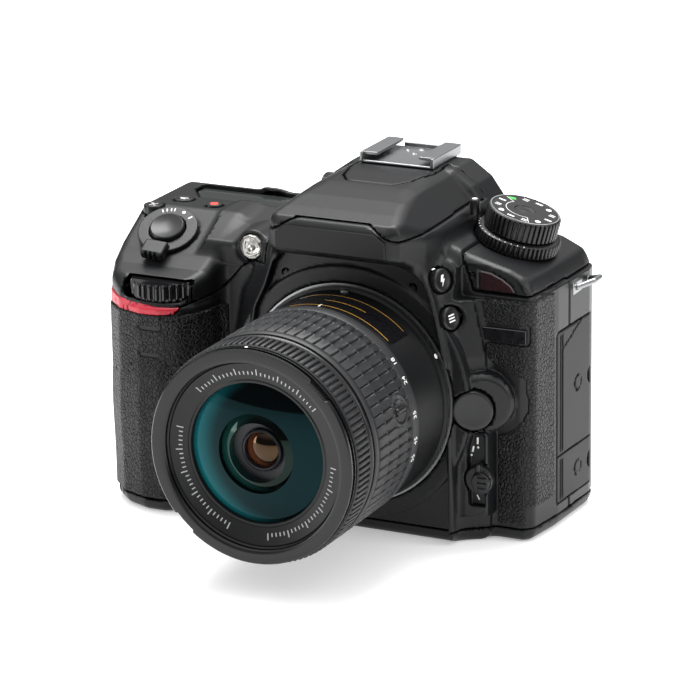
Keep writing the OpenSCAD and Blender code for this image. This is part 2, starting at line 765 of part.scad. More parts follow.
module rear_dial() color([0.09, 0.09, 0.10]) translate(rear_wheel) knurled(rear_wheel_r, wheel_h, 34, 0.6);

module diopter_dial() color([0.10, 0.10, 0.11]) {
  translate([-hump_w - 1.15, 14, 90]) rotate([0, -90, 0]) {
    knurled(4.2, 3, 20, 0.35);
    translate([0, 0, -4]) cylinder(r = 1.5, h = 4 + eps);
  }
}

module focus_lever() color([0.11, 0.11, 0.12]) {
  translate(lever_at) rotate([90, 0, 0]) {
    translate([0, 0, -1.4]) cylinder(r = 4.4, h = 2.4);
    translate([-1.2, 0, -1.4]) cube([2.4, 7, 3]);
    translate([0, 0, -6]) cylinder(r = 2, h = 5);
  }
}

// ---- Lens ----

module fixed_barrel() color([0.11, 0.11, 0.12]) {
  lens_tube(barrel_r, 30, zoom_back_y + 0.2, flange_y - 0.1);
  lens_tube(barrel_r, rear_glass_r + 0.02, flange_y - 1.9, flange_y - 0.1);
  lens_tube(guide_r[1], guide_r[0], -80, flange_y - 1.8);
  lens_tube(rear_tube_r, 20.5, flange_y - 0.2, -29.4);
  // Three bayonet lugs behind the mount ring.
  for (a = [0, 120, 240]) translate([0, -29.4, axis_z]) rotate([90, 0, 0]) rotate(a + 15)
    rotate_extrude(angle = 40) translate([21.6, 0]) square([2.2, 1.5]);
}

module zoom_ring() color([0.10, 0.10, 0.11]) {
  difference() {
    union() {
      lens_tube(zoom_r, 29.9, zoom_front_y, zoom_back_y);
      lens_tube(30.2, guide_r[1] + gap, zoom_back_y - 1.4, zoom_back_y);
      lens_tube(30.2, guide_r[1] + gap, -79.6, -78);
    }
    at_retract() cylinder(r = retract_r + gap, h = 50);
    // Grip ribs: shallow axial grooves.
    for (i = [0:59]) translate([0, 0, axis_z]) rotate([0, i * 6, 0])
      box([-0.3, -80.5, zoom_r - 0.5], [0.3, -58, zoom_r + 1]);
  }
}

module inner_barrel() color([0.10, 0.10, 0.11]) {
  lens_tube(guide_r[0] - gap, 24, -84, -50);
  lens_tube(31.8, 24, -85.2, -83.6);
  lens_tube(29.6, relief_r, thread_end_y - eps, -85);
  lens_tube(29.6, filter_r, lens_front_y, thread_end_y);
  lens_tube(31, relief_r, thread_end_y - eps, -94.2);
  lens_tube(31, filter_r, lens_front_y, thread_end_y);
}

module focus_ring() color([0.09, 0.09, 0.10]) {
  translate([0, -85.4, axis_z]) rotate([90, 0, 0]) difference() {
    knurled(32.2, 8.6, 96, 0.35);
    translate([0, 0, -1]) cylinder(r = 29.6 + gap, h = 12);
  }
}

module lens_bezel() color([0.08, 0.08, 0.09]) {
  translate([0, 0, axis_z]) rotate([90, 0, 0]) rotate_extrude()
    polygon([[24.2, 88], [relief_r - 0.05, 88], [relief_r - 0.05, 94.6], [front_glass_r + 0.1, 93.8], [front_glass_r + 0.1, 91]]);
}

module front_element() color([0.35, 0.5, 0.5]) {
  translate([0, -88, axis_z]) rotate([90, 0, 0]) rotate_extrude() polygon(dome(front_glass_r, 3.6, 3.3));
}

module rear_element() color([0.4, 0.5, 0.5]) rod_y(0, axis_z, rear_glass_r, -38.5, -34.8);

front_cover();
rear_cover();
top_cover();
bottom_cover();
grip_rubber();
side_rubber();
thumb_rubber();
grip_trim();
mirror_box();
focusing_screen();
pentaprism();
eyepiece_lens();
eyecup();
shutter_unit();
image_sensor();
main_board();
battery();
tripod_socket();
mount_ring();
strap_lugs();
hot_shoe();
top_display();
af_lamp();
ir_window();
badge_plate();
cover_screws();
main_mirror();
sub_mirror();
flash_head();
battery_door();
card_door();
port_cover_upper();
port_cover_lower();
lcd_arm();
lcd_panel();
shutter_button();
power_switch();
ev_button();
iso_button();
record_button();
mode_dial();
release_dial();
dial_lock_button();
front_dial();
rear_dial();
diopter_dial();
lens_release_button();
focus_lever();
flash_button();
bracket_button();
multi_selector();
rear_buttons();
fixed_barrel();
zoom_ring();
retract_button();
inner_barrel();
focus_ring();
lens_bezel();
front_element();
rear_element();
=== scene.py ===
"""A single-lens reflex camera with a collapsible kit zoom. Lengths are millimetres until a mesh is made."""

import math

import bmesh
import bpy
import numpy as np
from mathutils import Matrix, Vector


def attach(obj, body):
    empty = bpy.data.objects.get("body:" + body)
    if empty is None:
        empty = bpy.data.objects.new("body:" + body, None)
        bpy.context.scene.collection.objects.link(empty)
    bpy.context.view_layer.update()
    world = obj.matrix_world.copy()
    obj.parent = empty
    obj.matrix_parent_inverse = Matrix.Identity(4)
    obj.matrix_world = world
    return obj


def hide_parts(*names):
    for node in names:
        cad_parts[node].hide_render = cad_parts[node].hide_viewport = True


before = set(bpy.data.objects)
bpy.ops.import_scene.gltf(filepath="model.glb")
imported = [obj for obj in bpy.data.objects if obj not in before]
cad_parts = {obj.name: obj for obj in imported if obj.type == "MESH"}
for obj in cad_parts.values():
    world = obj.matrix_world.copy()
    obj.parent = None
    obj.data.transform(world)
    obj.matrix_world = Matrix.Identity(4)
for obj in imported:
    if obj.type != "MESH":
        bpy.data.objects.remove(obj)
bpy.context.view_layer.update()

MM = 0.001
CELL = 0.8  # grid step of the covers' meshes
AXIS_Z = 42.6  # height of the lens axis
WALL = 1.8
GAP = 0.11  # half the width of a seam
FOOT, REAR_TOP = 4, 74  # heights where the rear cover starts and ends
# Directions as seen from in front of the lens.
UP, FORWARD, BACKWARD, RIGHT, LEFT = (0, 0, 1), (0, -1, 0), (0, 1, 0), (1, 0, 0), (-1, 0, 0)


# ---- Distance fields: from points (N, 3) or plane coordinates to millimetres, negative inside ----


def edge_len(a, b):
    return np.sqrt(np.maximum(a, 0) ** 2 + np.maximum(b, 0) ** 2)


def both(a, b, k=0.0):
    """Intersection, its edge rounded to radius k."""
    if k == 0:
        return np.maximum(a, b)
    return np.minimum(-k, np.maximum(a, b)) + edge_len(a + k, b + k)


def either(a, b, k=0.0):
    """Union, its inner corner filled to radius k."""
    return -both(-a, -b, k)


def less(a, b, k=0.0):
    """a without b."""
    return both(a, -b, k)


def box_field(p, lo, hi, k=0.0):
    lo, hi = np.array(lo, float), np.array(hi, float)
    q = np.abs(p - (lo + hi) / 2) - (hi - lo) / 2 + k
    return np.sqrt((np.maximum(q, 0) ** 2).sum(1)) + np.minimum(q.max(1), 0) - k


def counterclockwise(corners):
    c = np.array(corners, float)
    area = np.sum(c[:, 0] * np.roll(c[:, 1], -1) - np.roll(c[:, 0], -1) * c[:, 1])
    return c[::-1] if area < 0 else c


def poly_field(u, v, corners, k=0.0):
    """A closed outline in a plane, its convex corners rounded to radius k."""
    c = counterclockwise(corners)
    if k:
        c = inset(c, k)
    best = np.full(u.shape, 1e9)
    inside = np.zeros(u.shape, bool)
    for (ax, ay), (bx, by) in zip(c, np.roll(c, -1, 0)):
        ex, ey = bx - ax, by - ay
        wx, wy = u - ax, v - ay
        t = np.clip((wx * ex + wy * ey) / (ex * ex + ey * ey), 0, 1)
        best = np.minimum(best, (wx - ex * t) ** 2 + (wy - ey * t) ** 2)
        inside ^= ((ay > v) != (by > v)) & (u < ex * (v - ay) / (ey if ey else 1e-9) + ax)
    return np.sqrt(best) * np.where(inside, -1, 1) - k


def rect(u0, v0, u1, v1):
    return [(u0, v0), (u0, v1), (u1, v1), (u1, v0)]


def mirrored(half):
    """An outline that is the same on both sides of u = 0, from one half."""
    return half + [(-u, v) for u, v in reversed(half)]


def inset(c, k):
    """A counterclockwise outline moved inwards by k."""
    out = []
    for before, here, after in zip(np.roll(c, 1, 0), c, np.roll(c, -1, 0)):
        n = []
        for a, b in ((before, here), (here, after)):
            d = (b - a) / np.linalg.norm(b - a)
            n.append(np.array([-d[1], d[0]]))
        out.append(here + (n[0] + n[1]) * k / max(1 + n[0] @ n[1], 0.25))
    return np.array(out)


def rod_field(p, axis, centre, r, lo, hi, k=0.0):
    """A cylinder along axis 0, 1 or 2 between lo and hi; centre is in the other two coordinates."""
    u, v = [i for i in range(3) if i != axis]
    radial = np.hypot(p[:, u] - centre[0], p[:, v] - centre[1]) - r
    return both(radial, np.abs(p[:, axis] - (lo + hi) / 2) - (hi - lo) / 2, k)


def between(v, lo, hi):
    return np.maximum(lo - v, v - hi)


def basis(x_axis, z_axis):
    """Unit x, y and z of a tilted frame, as rows; x_axis need only lean towards x."""
    z = np.array(z_axis, float) / np.linalg.norm(z_axis)
    x = np.array(x_axis, float) - z * np.dot(x_axis, z)
    x /= np.linalg.norm(x)
    return np.array([x, np.cross(z, x), z])


def in_frame(p, origin, x_axis, z_axis):
    """Points given in a tilted frame."""
    return (p - np.array(origin, float)) @ basis(x_axis, z_axis).T


def bump(x, centre, width):
    return np.exp(-(((x - centre) / width) ** 2))


# ---- The body's outer form ----

GRIP_PLAN = [(-80.8, 10), (-80.8, -22), (-80, -29), (-77, -35.5), (-71.5, -40.6), (-64, -43.6),
             (-57.5, -43.6), (-52, -41), (-48.4, -36.6), (-46.6, -31), (-46, -20), (-46, 10)]
HEAD_PLAN = [(-80.7, 20), (-80.7, -22), (-80, -28.8), (-77.2, -35.4), (-71.6, -40.6), (-64, -43.2),
             (-57.5, -43.2), (-52.4, -40.6), (-49, -36), (-47.2, -30), (-46, -20), (-45, 20)]
CORE_PLAN = [(-80.8, 20), (-80.8, -20), (-77, -24), (50.8, -24), (53.2, -21.6), (55, -8), (55.8, 14),
             (54.6, 20)]
PAD_SIDE = [(20, 40), (20, 84.2), (18.6, 85.3), (-9.2, 85.3), (-30.6, 72.9), (-36.5, 71.4), (-41, 68.8),
            (-43.4, 65.4), (-44.5, 60), (-44.5, 40)]
DECK_SIDE = [(20, 40), (20, 84.2), (18.6, 85.3), (1, 85.2), (-12, 83.4), (-24, 80.2), (-24, 40)]
SHOULDER_FRONT = [(10, 20), (10, 90), (24, 88.6), (33, 85), (46, 81.6), (52, 78.8), (55.6, 74.5), (57.5, 68),
                  (57.5, 20)]
MOUNT_FRONT = [(-33, -30), (33.4, -30), (33.4, 14), (33, 34), (31.9, 56), (29.2, 68), (27.7, 74),
               (25.6, 79.5), (21.5, 83), (15, 86), (-15, 86), (-21, 84.5), (-24.4, 80.5), (-27, 73),
               (-30.4, 66), (-32.4, 55), (-33, 40)]
HUMP_PLAN = mirrored([(17.2, -45.2), (20.8, -42.2), (24.6, -33), (26.4, -24), (27, -12), (26.4, 20.4)])
HUMP_FRONT = mirrored([(-27.4, 60), (-27.4, 86), (-26, 91), (-16.4, 100.7), (-12.4, 102.8)])
HUMP_SIDE = [(20.4, 60), (20.4, 95), (18.6, 101), (16.6, 102.8), (-8, 102.8), (-20, 102), (-30, 100.3),
             (-37.5, 98.4), (-42.8, 96.8), (-45, 94.6), (-45.2, 93), (-45.2, 86.8), (-40, 85.4), (-36, 83),
             (-33, 79), (-33, 60)]
HAUNCH_FRONT = [(-5, 60), (-5, 101.8), (16, 102), (22.6, 97.4), (27.2, 91), (28.2, 84), (28.2, 60)]
FRONT_MASK = [(-100, -10), (-100, 62.2), (-53, 62.2), (-52.2, 63.8), (-46.5, 65.9), (-39.3, 73.8),
              (-35.5, 76.2), (-29.6, 76.6), (-29.6, 86), (-29.6, 130), (29.4, 130), (29.4, 89.5), (30.4, 87),
              (32.5, 81.5), (34.8, 74.5), (100, 74.4), (100, -10)]
# The part of the top cover, under the shoe, that reaches forward between the sides of the flash head.
TONGUE = mirrored([(-13.2, 30), (-13.2, -3), (-11, -13), (-7.6, -18)])
FLASH_REAR = 8.0

# ---- Places and axes of the controls ----

PAD_C = np.array([-66.5, -19.1, 80.0])  # top of the grip, where the shutter button sits
PAD_LEAN, PAD_ROLL = math.radians(31), math.radians(5)
PAD_AXIS = (math.sin(PAD_ROLL), -math.sin(PAD_LEAN) * math.cos(PAD_ROLL),
            math.cos(PAD_LEAN) * math.cos(PAD_ROLL))
DIAL_TOP = np.array([41.2, 0, 93.6])
DIAL_TILT = math.radians(15)
DIAL_AXIS = (math.sin(DIAL_TILT), 0, math.cos(DIAL_TILT))
FLANK_AXIS = (0.92, -0.32, 0.22)
FLASH_AT, BRACKET_AT = (28.0, -30, 78.8), (30.9, -30.3, 67.9)
RELEASE_AT, RELEASE_TURN = (38.2, -31, 41.4), math.radians(20)
RELEASE_AXIS = (math.sin(RELEASE_TURN), -math.cos(RELEASE_TURN), 0)
RELEASE_SIDE = (0.94, 0.342, 0)
EV_AT, ISO_AT, RECORD_AT = (-76.2, -10.2, 84.2), (-70.4, -1.5, 85), (-58.7, -4.2, 85)
LEVER_X, LEVER_Z = 40.2, 20.5
LAMP_X = -35.6
SELECT_X, SELECT_Z = -57.5, 44
FRONT_WHEEL, REAR_WHEEL = (-60.5, -32.6), (-61, 11.2)
IR_OUTLINE = [(37, 75.2), (37, 80.9), (40.4, 80.5), (44, 79), (46.6, 77.2), (48, 75.2)]
GRIP_SIDE_BUTTONS = [(-45, 71), (-62, 26), (-62, 13.5), (-44.5, 59.5)]
REAR_BUTTONS = [(49.8, 62 - 11.4 * i) for i in range(5)] + GRIP_SIDE_BUTTONS


def grip_waist(z):
    """How far the grip draws in: most below the wheel, while it swells a little at half its height."""
    return 1.5 * bump(z, 53, 7) - 0.4 * bump(z, 32, 12)


def where(p, lo, hi, d, change, reach=3.0):
    """d with change(points, values) applied to the points in a box, reach wider on each side."""
    near = np.all((p > np.array(lo, float) - reach) & (p < np.array(hi, float) + reach), 1)
    if near.any():
        d = d.copy()
        d[near] = change(p[near], d[near])
    return d


def release_housing(p, d):
    """Round housing of the lens release, square at its upper corner by the mount."""
    q = in_frame(p, (41, -30, 43), RELEASE_SIDE, RELEASE_AXIS)
    round_part = np.hypot(q[:, 0], q[:, 1]) - 8.9
    corner = np.maximum(np.abs(q[:, 0] + 4.2) - 4.7, np.abs(q[:, 1] - 4.3) - 4.3)
    plan = either(round_part, corner)
    h = both(plan + np.clip(q[:, 2] + 1.4, 0, 2) * 0.8, q[:, 2], 0.5)
    return either(d, both(h, -q[:, 2] - 12), 0.5)


def lever_block(p, d):
    """Raised block beside the mount, hollowed for the focus lever."""
    x, y, z = p.T
    side = poly_field(x, z, [(33, 8.6), (33, 29), (35.8, 34.6), (42.3, 34.6), (42.3, 8.6)], 1)
    h = both(side, -31.9 - y + 0.22 * np.maximum(x - 36, 0), 0.8)
    h = either(d, both(h, y + 20), 0.5)
    pocket = poly_field(x, z, [(36.9, 12.2), (36.3, 29), (37.6, 33.8), (41.5, 33.8), (41.5, 12.2)], 0.8)
    pocket = np.minimum(pocket, np.hypot(x - LEVER_X, z - LEVER_Z) - 4.7)
    return less(h, both(pocket, y + 29.4, 0.3), 0.3)


def lamp_hood(p, d):
    """Round swelling that holds the focus lamp."""
    return either(d, rod_field(p, 1, (LAMP_X, 80.4), 5.0, -24.4, -12, 1), 2.5)


def window_face(p, d):
    """The face under the shoulder's lip, set back."""
    x, y, z = p.T
    lip = [(31, 72.6), (31, 82.4), (37.5, 82.4), (45, 81.4), (49.4, 78.6), (52.2, 74), (52.2, 72.6)]
    return less(d, both(poly_field(x, z, lip, 1.5), y + 22.9, 0.6), 0.5)


def mount_face(p, d):
    """The recessed face inside the block's rim, and the raised ring round the mount."""
    x, y, z = p.T
    radius = np.hypot(x, z - AXIS_Z)
    face = both(both(poly_field(x, z, MOUNT_FRONT, 3) + 1.4, y + 32.9, 0.8), -(y + 37))
    d = less(d, both(face, z - 86), 0.8)
    return either(d, both(np.abs(radius - 35.6) - 2.6, np.abs(y + 31.6) - 2.2, 0.7), 0.8)


FEATURES = [((28, -38, 30), (54, -14, 54), release_housing), ((31, -35, 6), (46, -18, 37), lever_block),
            ((-43, -26, 73), (-28, -10, 87), lamp_hood), ((30, -32, 72), (54, -18, 84), window_face),
            ((-40, -38, 3), (40, -28, 88), mount_face)]


def body_field(p):
    x, y, z = p.T
    low = poly_field(x, y, GRIP_PLAN, 4) + grip_waist(z)
    low = both(low, z - 64, 1)
    head = both(poly_field(x, y, HEAD_PLAN, 4), poly_field(y, z, PAD_SIDE, 2.4), 3)
    waist = grip_waist(z) * np.clip((-50 - x) / 20, 0, 1)
    core_plan = poly_field(x, y, CORE_PLAN, 3.2) + np.where(x < -50, waist, 0)
    deck = both(both(core_plan, poly_field(y, z, DECK_SIDE, 2.2), 1.5), between(x, -52, -20))
    slab = both(core_plan, z - REAR_TOP, 0.5)
    shoulder = both(both(core_plan, poly_field(x, z, SHOULDER_FRONT, 4), 3.4), 10 - x)
    d = either(either(low, head, 0.6), either(either(slab, deck), shoulder), 3)
    # The block round the mount widens towards the back.
    spread = 7.9 * (np.clip(y + 34.4, 0, 8.6) / 8.6) ** 2
    block = poly_field(x - spread * np.clip(x / 22, -1, 1), z, MOUNT_FRONT, 3) * 0.8
    block = both(both(block, -35.6 - y, 1.3), y + 12)
    d = either(d, block, 1.5)
    hump = both(poly_field(x, y, HUMP_PLAN, 2), poly_field(x, z, HUMP_FRONT, 2.5), 2.2)
    hump = both(hump, poly_field(y, z, HUMP_SIDE, 1.8), 1.6)
    haunch = both(poly_field(np.abs(x), z, HAUNCH_FRONT, 2.5), np.abs(y - 11.6) - 8.8, 2.5)
    hump = either(hump, haunch, 1)
    d = either(d, hump, 2.5)
    for lo, hi, change in FEATURES:
        d = where(p, lo, hi, d, change)
    return both(d, -z, 3.2)


# ---- Meshes from distance fields ----


def field_values(field, p):
    """The field at many points, in parts to save memory."""
    part = 400000
    out = np.empty(len(p), np.float32)
    for i in range(0, len(p), part):
        out[i:i + part] = field(p[i:i + part])
    return out


def slopes(field, p, e=0.04):
    """The field and its gradient at points."""
    v = field_values(field, p)
    g = np.stack([field_values(field, p + s) - v for s in np.eye(3) * e], 1) / e
    return v, g


def band(field, lo, hi, cell, reach):
    """Grid values of a field: true ones within reach of its surface, and only a sign elsewhere."""
    block = 8  # cells along a side of the blocks that are looked at first
    n = np.ceil((np.array(hi) - np.array(lo)) / cell / block).astype(int)
    lo = np.array(lo, float)
    middles = [(np.arange(k) * block + 3.5) * cell for k in n]
    value = field_values(field, np.stack(np.meshgrid(*middles, indexing="ij"), -1).reshape(-1, 3) + lo)
    near = np.abs(value) < reach + cell * block
    grid = np.where(value < 0, -9, 9).reshape(n).astype(np.float32)
    for axis in range(3):
        grid = np.repeat(grid, block, axis)
    corner = np.array(np.unravel_index(np.nonzero(near)[0], n)).T * block
    step = np.stack(np.meshgrid(*[np.arange(block)] * 3, indexing="ij"), -1).reshape(-1, 3)
    at = (corner[:, None, :] + step[None]).reshape(-1, 3)
    grid[tuple(at.T)] = field_values(field, at * cell + lo)
    return grid


def net(grid, lo, cell):
    """Vertices and quads of the grid's zero surface."""
    s = grid < 0
    shape = np.array(grid.shape)
    ids, points, quads = [], [], []
    for a in range(3):
        b, c = (a + 1) % 3, (a + 2) % 3
        first = np.take(s, range(shape[a] - 1), a)
        second = np.take(s, range(1, shape[a]), a)
        at = np.array(np.nonzero(first != second)).T
        at = at[(at[:, b] > 0) & (at[:, c] > 0)]
        at = at[(at[:, b] < shape[b] - 1) & (at[:, c] < shape[c] - 1)]
        step = np.eye(3, dtype=int)
        v0 = grid[tuple(at.T)]
        v1 = grid[tuple((at + step[a]).T)]
        point = at + (v0 / (v0 - v1))[:, None] * step[a]
        cells = [at - step[b] * i - step[c] * j for i, j in ((0, 0), (1, 0), (1, 1), (0, 1))]
        number = [np.ravel_multi_index(tuple(q.T), grid.shape) for q in cells]
        for q in number:
            ids.append(q)
            points.append(point)
        quad = np.stack(number, 1)
        flip = s[tuple(at.T)]
        quad[~flip] = quad[~flip][:, ::-1]
        quads.append(quad)
    ids, points, quads = np.concatenate(ids), np.concatenate(points), np.concatenate(quads)
    unique, group = np.unique(ids, return_inverse=True)
    count = np.bincount(group)
    co = np.stack([np.bincount(group, points[:, i]) / count for i in range(3)], 1)
    return co * cell + np.array(lo, float), np.searchsorted(unique, quads)


def linked(name, data):
    obj = bpy.data.objects.new(name, data)
    bpy.context.scene.collection.objects.link(obj)
    return obj


def make_mesh(name, co, quads, normals=None):
    mesh = bpy.data.meshes.new(name)
    mesh.vertices.add(len(co))
    mesh.vertices.foreach_set("co", (co * MM).astype(np.float32).ravel())
    mesh.loops.add(quads.size)
    mesh.loops.foreach_set("vertex_index", quads.astype(np.int32).ravel())
    mesh.polygons.add(len(quads))
    mesh.polygons.foreach_set("loop_start", np.arange(0, quads.size, quads.shape[1], dtype=np.int32))
    mesh.polygons.foreach_set("use_smooth", np.ones(len(quads), bool))
    mesh.update(calc_edges=True)
    mesh.validate()
    if normals is not None:
        mesh.normals_split_custom_set_from_vertices(normals.astype(np.float32).tolist())
    return linked(name, mesh)


def field_object(name, field, lo, hi, cell=CELL, grid=None):
    """A closed mesh of a field's zero surface, its vertices moved onto the surface."""
    if grid is None:
        lo = np.array(lo, float) - 2 * cell
        grid = band(field, lo, np.array(hi, float) + 2 * cell, cell, 0.6)
    co, quads = net(grid, lo, cell)
    for share in (1, 0.7):
        v, g = slopes(field, co)
        step = (v / np.maximum((g ** 2).sum(1), 0.3))[:, None] * g * share
        far = np.linalg.norm(step, axis=1)[:, None]
        co = co - step * np.minimum(1, 0.45 * cell / np.maximum(far, 1e-9))
    g = slopes(field, co)[1]
    return make_mesh(name, co, quads, g / np.maximum(np.linalg.norm(g, axis=1), 1e-6)[:, None])


# ---- Materials ----


MATS = {}


def principled(name, colour, rough, metal):
    """A new material, listed in MATS, and its main node."""
    MATS[name] = m = bpy.data.materials.new(name)
    m.use_nodes = True
    b = m.node_tree.nodes["Principled BSDF"]
    b.inputs["Base Color"].default_value = (*colour, 1)
    b.inputs["Roughness"].default_value = rough
    b.inputs["Metallic"].default_value = metal
    return m, m.node_tree.nodes, m.node_tree.links, b


def material(name, colour, rough, metal=0.0, bumps=None, coat=0.0, gloss=0.5):
    """bumps(nodes, links, coordinates) returns a height socket, its strength and its distance."""
    m, nodes, links, b = principled(name, colour, rough, metal)
    b.inputs["Coat Weight"].default_value = coat
    b.inputs["Specular IOR Level"].default_value = gloss
    b.inputs["Coat Roughness"].default_value = 0.12
    if bumps:
        place = nodes.new("ShaderNodeTexCoord").outputs["Object"]
        height, strength, distance = bumps(nodes, links, place)
        n = nodes.new("ShaderNodeBump")
        n.inputs["Strength"].default_value = strength
        n.inputs["Distance"].default_value = distance * MM
        links.new(height, n.inputs["Height"])
        links.new(n.outputs["Normal"], b.inputs["Normal"])
    return m


def noise(nodes, links, place, per_mm, detail=2.0):
    n = nodes.new("ShaderNodeTexNoise")
    n.inputs["Scale"].default_value = per_mm * 1000
    n.inputs["Detail"].default_value = detail
    links.new(place, n.inputs["Vector"])
    return n.outputs["Fac"]


def math_node(nodes, links, kind, a, b):
    n = nodes.new("ShaderNodeMath")
    n.operation = kind
    for i, v in enumerate((a, b)):
        if isinstance(v, (int, float)):
            n.inputs[i].default_value = v
        else:
            links.new(v, n.inputs[i])
    return n.outputs[0]


def fine_grain(nodes, links, place):
    """Spark-eroded mould texture."""
    return noise(nodes, links, place, 2.6, 3), 0.5, 0.09


def leather(nodes, links, place):
    """Pebbled leather: cells with sunk borders, their place stirred by noise."""
    stir = nodes.new("ShaderNodeTexNoise")
    stir.inputs["Scale"].default_value = 450
    links.new(place, stir.inputs["Vector"])
    mixed = nodes.new("ShaderNodeVectorMath")
    mixed.operation = "MULTIPLY_ADD"
    links.new(stir.outputs["Color"], mixed.inputs[0])
    mixed.inputs[1].default_value = (0.0011,) * 3
    links.new(place, mixed.inputs[2])
    v = nodes.new("ShaderNodeTexVoronoi")
    v.feature = "DISTANCE_TO_EDGE"
    v.inputs["Scale"].default_value = 780
    links.new(mixed.outputs[0], v.inputs["Vector"])
    low = math_node(nodes, links, "MINIMUM", v.outputs["Distance"], 0.22)
    grain = math_node(nodes, links, "MULTIPLY", noise(nodes, links, place, 2.5), 0.08)
    return math_node(nodes, links, "ADD", low, grain), 1.0, 1.5


def soft_grain(nodes, links, place):
    return noise(nodes, links, place, 4.0, 2), 0.25, 0.05


material("cover_plastic", (0.0055, 0.0058, 0.0065), 0.38, bumps=fine_grain, gloss=0.27)
material("rubber_grain", (0.0055, 0.0057, 0.0062), 0.42, bumps=leather, gloss=0.24)
material("soft_rubber", (0.006, 0.0062, 0.0068), 0.5, bumps=soft_grain, gloss=0.22)
material("lens_rubber", (0.013, 0.0134, 0.0146), 0.46, bumps=soft_grain, gloss=0.32)
material("trim_red", (0.42, 0.012, 0.03), 0.35, gloss=0.4)
material("frame_plastic", (0.008, 0.008, 0.009), 0.6, gloss=0.3)
material("steel", (0.27, 0.275, 0.28), 0.36, 1.0, bumps=soft_grain)
material("bright", (0.62, 0.63, 0.64), 0.2, 1.0)
material("screw_black", (0.03, 0.03, 0.032), 0.32, 0.6)
material("board_green", (0.02, 0.12, 0.06), 0.5)
material("battery_grey", (0.05, 0.05, 0.055), 0.45)
material("button_plastic", (0.008, 0.0083, 0.009), 0.3, gloss=0.32)
material("dial_plastic", (0.006, 0.006, 0.0065), 0.34, gloss=0.4)
material("gloss_black", (0.006, 0.006, 0.007), 0.06)
material("screen_glass", (0.006, 0.007, 0.008), 0.05, coat=0.6)
material("lens_barrel_plastic", (0.0045, 0.0047, 0.0052), 0.36, bumps=soft_grain, gloss=0.2)
material("white_mark", (0.78, 0.78, 0.76), 0.5)
material("green_mark", (0.04, 0.5, 0.06), 0.5)
material("red_mark", (0.75, 0.05, 0.03), 0.45)
material("gold_mark", (0.6, 0.33, 0.06), 0.35, 0.4)
material("grey_mark", (0.33, 0.33, 0.34), 0.5)
material("mirror_glass", (0.8, 0.82, 0.85), 0.03, 1.0)


def dress(obj, body, mat, slot=None, stands_for=None):
    """Material, CAD body, slot (not used) and the CAD node it replaces."""
    obj.data.materials.clear()
    obj.data.materials.append(MATS[mat])
    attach(obj, body)
    slot or mat
    if stands_for:
        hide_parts(stands_for)
    return obj


# ---- The body's covers ----


def flash_seam(x, y):
    """Height of the seam between the flash head and the nose."""
    side = np.clip((np.abs(x) - 10) / 11, 0, 1)
    return 96.7 - 4.3 * side * side * (3 - 2 * side) + 0.02 * (y + 45)


def flash_region(p):
    """Negative where the flash head is."""
    x, y, z = p.T
    d = both(flash_seam(x, y) - z, y - FLASH_REAR)
    return less(d, poly_field(x, y, TONGUE, 2.5))


def wheel_slot(p):
    """Round pocket of the front wheel, and the wide window in front of it."""
    x, y, z = p.T
    slot = both(both(np.abs(z - 68.2) - 2.9, np.abs(x + 60.9) - 10.4, 2.2), y + 33)
    return either(slot, both(rod_field(p, 2, FRONT_WHEEL, 10.9, 65.1, 71.2, 0.4), -37.5 - y))


def tilted_well(at, axis, r, low, high=6.0, x_axis=RIGHT, k=0.0):
    """A round hole between two heights above a place on a tilted surface."""
    return lambda p: rod_field(in_frame(p, at, x_axis, axis), 2, (0, 0), r, low, high, k)


def rod_hole(axis, centre, r, lo, hi, k=0.0):
    return lambda p: rod_field(p, axis, centre, r, lo, hi, k)


def box_hole(lo, hi, k):
    return lambda p: box_field(p, lo, hi, k)


def around(at, r):
    return [v - r for v in at], [v + r for v in at]


def display_recess(p):
    """Shallow bed of the top display."""
    x, y, z = p.T
    plan = poly_field(x, y, [(-73.4, 17), (-73.6, 11.4), (-67.2, 2.4), (-27, 2.4), (-27, 17)], 1.5)
    return both(both(plan, 83.4 - z, 0.3), z - 90)


def window_hole(p):
    return both(poly_field(p[:, 0], p[:, 2], IR_OUTLINE, 0.6) - 0.25, np.abs(p[:, 1] + 24) - 1.6)


